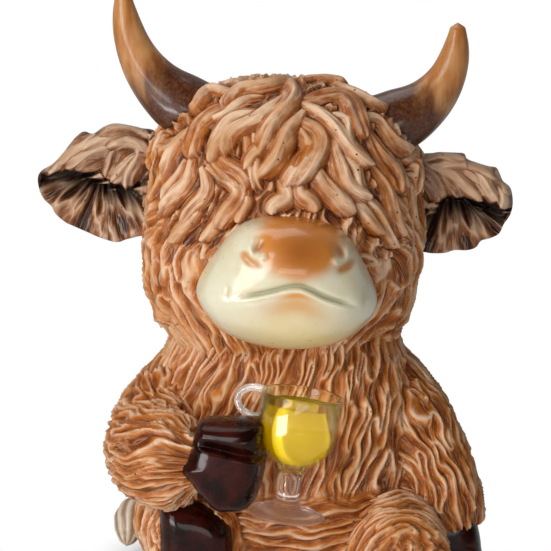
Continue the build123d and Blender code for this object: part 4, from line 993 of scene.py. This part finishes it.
# The tail: a thin casting round the right haunch with a pale tuft glued on its end.
# It lies close against the body and is painted like the coat, and the tuft is dry-brushed cream.
TAIL_POINTS = [(-2.0, 24.1, 12.3), (-15.6, 25.5, 7.7), (-26.9, 16.8, 7.2), (-30.9, 9.8, 8.2)]
TUFT_POINTS = [(-30.9, 9.8, 8.2), (-34.4, 3.4, 9.2), (-35.6, -0.8, 3.2)]
TAIL_ROWS, TAIL_COLUMNS, TAIL_LENGTH, TAIL_RADII = 40, 60, 36, (3.3, 2.6)
TAIL_GIRTH, TAIL_GAUGE, TAIL_RUN, TAIL_WAVE, TAIL_HAIR_HEIGHT = 18.0, 2.0, 9.0, 2.0, 0.5
TUFT_PLACES, TUFT_RADII = [0, 0.35, 0.6, 0.8, 0.93, 1.0], [2.6, 3.7, 3.7, 3.0, 1.8, 0.1]
TUFT_FURROWS, TUFT_TWIST, FURROW_SHARE, TAIL_SEED = 9, 5, 0.05, 140
upright = np.array([0.0, 0.0, 1.0])
turn = circle(TAIL_COLUMNS)[None]
tail_line = through(TAIL_POINTS, TAIL_ROWS)
tail_points = tube_points(tail_line, np.linspace(*TAIL_RADII, TAIL_ROWS), upright, TAIL_COLUMNS)
along = np.linspace(0, TAIL_LENGTH, TAIL_ROWS)[:, None]
relief, strand = hair(turn, along, TAIL_GIRTH, TAIL_GAUGE, TAIL_RUN, TAIL_WAVE, TAIL_SEED)
haired("tail_casting", "tail", tail_points, TAIL_HAIR_HEIGHT * relief, strand, along, relief)
tuft_line = through(TUFT_POINTS, TAIL_ROWS)
t = np.linspace(0, 1, TAIL_ROWS)
points = tube_points(tuft_line, np.interp(t, TUFT_PLACES, TUFT_RADII), upright, TAIL_COLUMNS)
furrow = np.sin(TUFT_FURROWS * turn + TUFT_TWIST * t[:, None])
points = tuft_line[:, None] + (points - tuft_line[:, None]) * (1 + FURROW_SHARE * furrow[..., None])
tuft = grid_mesh("tuft_casting", points, {"crest": 0.5 + 0.5 * furrow})
tuft_paint, paint = new_finish("tuft_paint", Coat_Weight=0.2, Coat_Roughness=0.2)
cloud = paint.noise(1.2)
pale_crest = (paint.attribute("crest") + 0.6 * cloud - 0.3).step(0.1, 0.9)
paint.feed("Base Color", pale_crest.mix(shown("A08467"), shown("DCCBB4")))
paint.feed("Roughness", 0.35 + 0.2 * cloud)
paint.bump(cloud, 0.4, 0.3)
fitted(tuft, tuft_paint, "tail_tuft")

# The glass: a small clear moulding with a spreading foot, glued against the sole of the right front hoof.
# A bent rod of whiter clear resin makes its handle, and everything in it leans with it.
GLASS_FOOT = np.array([0.0, -38.3, 19.7])
GLASS_TILT = np.radians(8.0)
GLASS_COLUMNS, CLEAR_IOR = 120, 1.47
BOWL_BOTTOM, RIM_HEIGHT, DRINK_HEIGHT = 10.3, 26.1, 23.8
BOWL_RADIUS, RIM_RADIUS, GLASS_WALL = 8.3, 8.8, 0.8
FOOT_PROFILE = [(0.01, 0.0), (4, 0.0), (7.6, 0.05), (8.1, 0.3), (8.2, 0.65), (7.9, 0.95), (6.4, 1.35)]
STEM_PROFILE = [(6.4, 1.35), (4.4, 2.3), (3.0, 3.4), (2.35, 4.6), (2.3, 6.5), (2.4, 9.0), (3.2, 10.6)]
LIP_PROFILE = [(0.0, -0.4), (-0.08, -0.1), (-0.4, 0.0), (-0.72, -0.1), (-0.8, -0.4)]
STEM_START, BOWL_START = 0.45, 0.002
FROST_LEVELS, BOWL_LEVELS = (3.6, 2.0), (9.0, 12.0)


def in_glass(points):
    """Points of the glass's own frame, leaned over and moved to where its foot is."""
    return rolled(points, GLASS_TILT) + GLASS_FOOT


def turned(outline, columns):
    """A profile of radius and height turned about the upright."""
    radius, height = np.asarray(outline, float).T[..., None]
    turn = circle(columns)
    return np.stack([radius * np.cos(turn), radius * np.sin(turn), height + 0 * turn], axis=-1)


def bowl_arc(radius, bottom, start, count):
    """The round bottom of a bowl from near its middle up to its waist."""
    angle = np.linspace(start, np.pi / 2, count)
    return np.stack([radius * np.sin(angle), bottom + radius * (1 - np.cos(angle))], axis=1)


stem = through(STEM_PROFILE, 30)
outer = bowl_arc(BOWL_RADIUS, BOWL_BOTTOM, STEM_START, 24)
lip = np.array(LIP_PROFILE) + (RIM_RADIUS, RIM_HEIGHT)
inner = bowl_arc(BOWL_RADIUS - GLASS_WALL, BOWL_BOTTOM + GLASS_WALL, BOWL_START, 30)[::-1]
profile = np.concatenate([FOOT_PROFILE, stem, outer, lip, inner])
height = profile[:, 1:] + np.zeros(GLASS_COLUMNS)
layers = {"frost": smooth_step(height, *FROST_LEVELS), "bowl": smooth_step(height, *BOWL_LEVELS)}
glass = grid_mesh("glass_moulding", in_glass(turned(profile, GLASS_COLUMNS)), layers)
glass_clear, paint = new_finish("clear_glass", Transmission_Weight=1.0, IOR=CLEAR_IOR)
shadow_ray = paint.node("ShaderNodeLightPath", output=1)
grazing = paint.node("ShaderNodeLayerWeight", None, {"Blend": 0.5}, 1).step(0.35, 0.8)
paint.feed("Alpha", 1 - 0.9 * shadow_ray - 0.7 * grazing)
frost = paint.attribute("frost")
paint.feed("Roughness", 0.02 + 0.04 * paint.noise(4.0) + 0.3 * frost)
clear = paint.attribute("bowl").mix(paint.noise(6.0).mix(shown("F4F1EC"), shown("FFFFFF")), shown("FFF6CE"))
paint.feed("Base Color", frost.mix(clear, shown("DCBFB2")))
fitted(glass, glass_clear, "glass")

HANDLE_REACH, HANDLE_SPAN, HANDLE_TURN, HANDLE_RADIUS = 5.6, 5.6, np.radians(160.0), 0.8
HANDLE_ROWS, HANDLE_COLUMNS, HANDLE_BEND, HANDLE_INSET, HANDLE_DROP = 40, 24, 0.62, 0.5, 0.9
bend = np.linspace(-HANDLE_BEND, HANDLE_BEND, HANDLE_ROWS) * np.pi
bow = HANDLE_REACH * (np.cos(bend) - np.cos(bend[0])) / (1 - np.cos(bend[0]))
reach = RIM_RADIUS - HANDLE_INSET + bow
drop = RIM_HEIGHT - HANDLE_DROP - HANDLE_SPAN / 2 - HANDLE_SPAN / 2 * np.sin(bend) / np.sin(bend[-1])
line = np.stack([reach * np.cos(HANDLE_TURN), reach * np.sin(HANDLE_TURN), drop], axis=1)
reference = np.array([-np.sin(HANDLE_TURN), np.cos(HANDLE_TURN), 0.0])
rod = tube_points(line, np.full(HANDLE_ROWS, HANDLE_RADIUS), reference, HANDLE_COLUMNS)
handle = grid_mesh("handle_rod", in_glass(rod))
handle_clear, paint = new_finish("handle_clear", Transmission_Weight=0.75, IOR=CLEAR_IOR)
paint.feed("Base Color", paint.noise(3.0).mix(shown("F2EEE8"), shown("FFFFFF")))
paint.feed("Roughness", 0.04 + 0.06 * paint.noise(2.0))
fitted(handle, handle_clear, "glass_handle")

# The drink: lemon-yellow resin cast in the bowl, with a shallow curl where it meets the wall.
# A thick slice of lemon stands in it, cast of paler resin with the segments painted on.
DRINK_COLUMNS, DRINK_OVERLAP = 96, 0.03
DRINK_TOP = [(7.8, 0.0), (7.6, -0.15), (7.0, -0.35), (0.01, -0.4)]
drink_radius = BOWL_RADIUS - GLASS_WALL + DRINK_OVERLAP
drink_bowl = bowl_arc(drink_radius, BOWL_BOTTOM + GLASS_WALL - DRINK_OVERLAP, BOWL_START, 40)
drink_profile = np.concatenate([drink_bowl, np.array(DRINK_TOP) + (0, DRINK_HEIGHT)])
drink = grid_mesh("drink_fill", in_glass(turned(drink_profile, DRINK_COLUMNS)))
drink_resin, paint = new_finish("drink_resin", Transmission_Weight=0.8, IOR=1.36)
shadow_ray = paint.node("ShaderNodeLightPath", output=1)
paint.feed("Alpha", 1 - 0.85 * shadow_ray)
paint.feed("Base Color", paint.noise(4.0).mix(shown("E4C800"), shown("ECD60C")))
paint.feed("Roughness", 0.03 + 0.06 * paint.noise(2.0))
fitted(drink, drink_resin, "drink")

LEMON_RADIUS, LEMON_HALF, LEMON_TOP, LEMON_EDGE = 5.4, 1.2, 22.8, 0.5
LEMON_FACE, LEMON_COLUMNS, LEMON_SEGMENTS = [0.01, 2.0, 3.6, 4.5], 144, 9
LEMON_LEAN, LEMON_YAW = np.radians(78.0), np.radians(44.0)
edge = np.linspace(-np.pi / 2, np.pi / 2, 13)
coin = [(radius, -LEMON_HALF) for radius in LEMON_FACE]
coin += list(zip(LEMON_RADIUS - LEMON_EDGE + LEMON_EDGE * np.cos(edge), LEMON_HALF * np.sin(edge)))
coin += [(radius, LEMON_HALF) for radius in reversed(LEMON_FACE)]
x, y, z = np.moveaxis(turned(coin, LEMON_COLUMNS), -1, 0)
segment = np.abs(np.cos(LEMON_SEGMENTS / 2 * np.arctan2(y, x)))
layers = {"far": np.hypot(x, y) / LEMON_RADIUS, "segment": segment}
y, z = y * np.cos(LEMON_LEAN) - z * np.sin(LEMON_LEAN), y * np.sin(LEMON_LEAN) + z * np.cos(LEMON_LEAN)
x, y = x * np.cos(LEMON_YAW) - y * np.sin(LEMON_YAW), x * np.sin(LEMON_YAW) + y * np.cos(LEMON_YAW)
slice_points = np.stack([x, y, z + LEMON_TOP - LEMON_RADIUS], axis=-1)
lemon = grid_mesh("lemon_slice_cast", in_glass(slice_points), layers)
lemon_resin, paint = new_finish("lemon_resin", Roughness=0.3)
far, segment = paint.attribute("far"), paint.attribute("segment")
flesh = (segment + 0.4 * paint.noise(0.8)).step(0.05, 0.35).mix(shown("F0E448"), shown("E6D600"))
pith = far.step(0.78, 0.86).mix(flesh, shown("FBF3B8"))
paint.feed("Base Color", far.step(0.94, 0.99).mix(pith, shown("F8EE90")))
paint.bump(paint.noise(0.5), 0.3, 0.2)
fitted(lemon, lemon_resin, "lemon_slice")

# The base: a plain resin plug that closes the hollow body, and a brown felt pad glued under it.
# Both keep their exact shapes and only take a finish.
plug_resin, paint = new_finish("plug_resin", Roughness=0.6)
paint.feed("Base Color", paint.noise(5.0).mix(shown("B9A88F"), shown("CDBFA8")))
paint.bump(paint.noise(0.8), 0.3, 0.2)
felt, paint = new_finish("felt", Roughness=0.95, Sheen_Weight=0.4)
fibre = paint.noise(0.5, 6.0, (1, 1, 0.4))
paint.feed("Base Color", fibre.step(0.3, 0.7).mix(shown("2E1C12"), shown("5A3C28")))
paint.bump(fibre, 0.8, 0.4)
for name, finish in (("base_plug", plug_resin), ("felt_pad", felt)):
    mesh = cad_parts[name].data
    mesh.materials.clear()
    mesh.materials.append(finish)

# The stage: a plain pale floor that turns white behind the figure, soft lamps and the camera.
# The key lamp is a tall softbox at the front left. A low strip that only shiny surfaces show draws the
# streak on the glass.
FLOOR_REACH, FLOOR_FADE, SKY_FADE = 900.0, (24.0, 46.0), (-0.1, 0.6)


def grey(level):
    """A neutral colour by its linear level."""
    return (level, level, level, 1)


def light_rays(shader):
    """One for rays from the camera, one for mirrored rays and one for rays through clear pieces."""
    ray = shader.node("ShaderNodeLightPath")
    keys = ("Is Camera Ray", "Is Glossy Ray", "Is Transmission Ray")
    return [Socket(ray.tree, ray.socket.node.outputs[key]) for key in keys]


floor_points = np.array([(-1, -1, 0), (1, -1, 0), (1, 1, 0), (-1, 1, 0)]) * FLOOR_REACH
floor = bpy.data.objects.new("floor", bpy.data.meshes.new("floor"))
floor.data.from_pydata((floor_points * MM).tolist(), [], [(0, 1, 2, 3)])
bpy.context.scene.collection.objects.link(floor)
floor_paper, paint = new_finish("floor_paper", Roughness=0.9)
paint.feed("Base Color", paint.noise(40.0).mix(grey(0.84), grey(0.88)))
seen, mirrored, passed = light_rays(paint)
far = paint.node("ShaderNodeVectorMath", {"operation": "LENGTH"}, {0: paint.place(1.0)}, 1).step(*FLOOR_FADE)
white = paint.node("ShaderNodeEmission", None, {"Color": grey(1)})
share = far * (seen + 0.3 * mirrored + passed)
mixed = paint.node("ShaderNodeMixShader", None, {0: share, 1: paint, 2: white})
paint.tree.links.new(mixed.socket, paint.tree.nodes["Material Output"].inputs["Surface"])
floor.data.materials.append(floor_paper)


def lamp(name, place, target, size, power):
    """A softbox, width by height, aimed at a point."""
    data = bpy.data.lights.new(name, "AREA")
    data.shape, data.energy = "RECTANGLE", power
    data.size, data.size_y = size[0] * MM, size[1] * MM
    made = bpy.data.objects.new(name, data)
    made.location = np.array(place) * MM
    way = np.array(place, float) - np.array(target)
    made.rotation_euler = (np.arctan2(np.hypot(way[0], way[1]), way[2]), 0, np.arctan2(way[0], -way[1]))
    made.visible_camera = False
    bpy.context.scene.collection.objects.link(made)
    return made


lamp("key_lamp", (-325, -440, 250), (0, -10, 55), (260, 420), 2.1)
lamp("fill_lamp", (10, -560, 50), (0, -10, 45), (320, 120), 0.45)
lamp("top_lamp", (-60, 80, 480), (0, -10, 65), (300, 300), 0.55)
strip = lamp("strip_lamp", (-140, -163, 18), (3, -38, 38), (100, 34), 0.16)
strip.visible_diffuse = False

world = bpy.data.worlds.new("studio")
bpy.context.scene.world = world
world.use_nodes = True
background = world.node_tree.nodes["Background"]
sky = Socket(world.node_tree, background.outputs[0])
seen, mirrored, passed = light_rays(sky)
behind = sky.node("ShaderNodeSeparateXYZ", None, {0: sky.node("ShaderNodeTexCoord")}, 1).step(*SKY_FADE)
backdrop = seen + 0.35 * mirrored * behind + passed * (0.75 + 0.25 * behind)
dim = mirrored.mix(grey(0.12), grey(0.04))
sky.feed("Color", backdrop.mix(dim, grey(1)))

camera_data = bpy.data.cameras.new("camera")
camera_data.sensor_fit = "HORIZONTAL"
camera_data.angle = 2 * np.arctan(IMAGE_SIZE * PIXEL / 2 / VIEW_DISTANCE)
camera = bpy.data.objects.new("camera", camera_data)
camera.location = view_from * MM
camera.rotation_euler = (np.pi / 2 - VIEW_PITCH, 0, 0)
bpy.context.scene.collection.objects.link(camera)
bpy.context.scene.camera = camera
bpy.context.scene.view_settings.view_transform = "Standard"
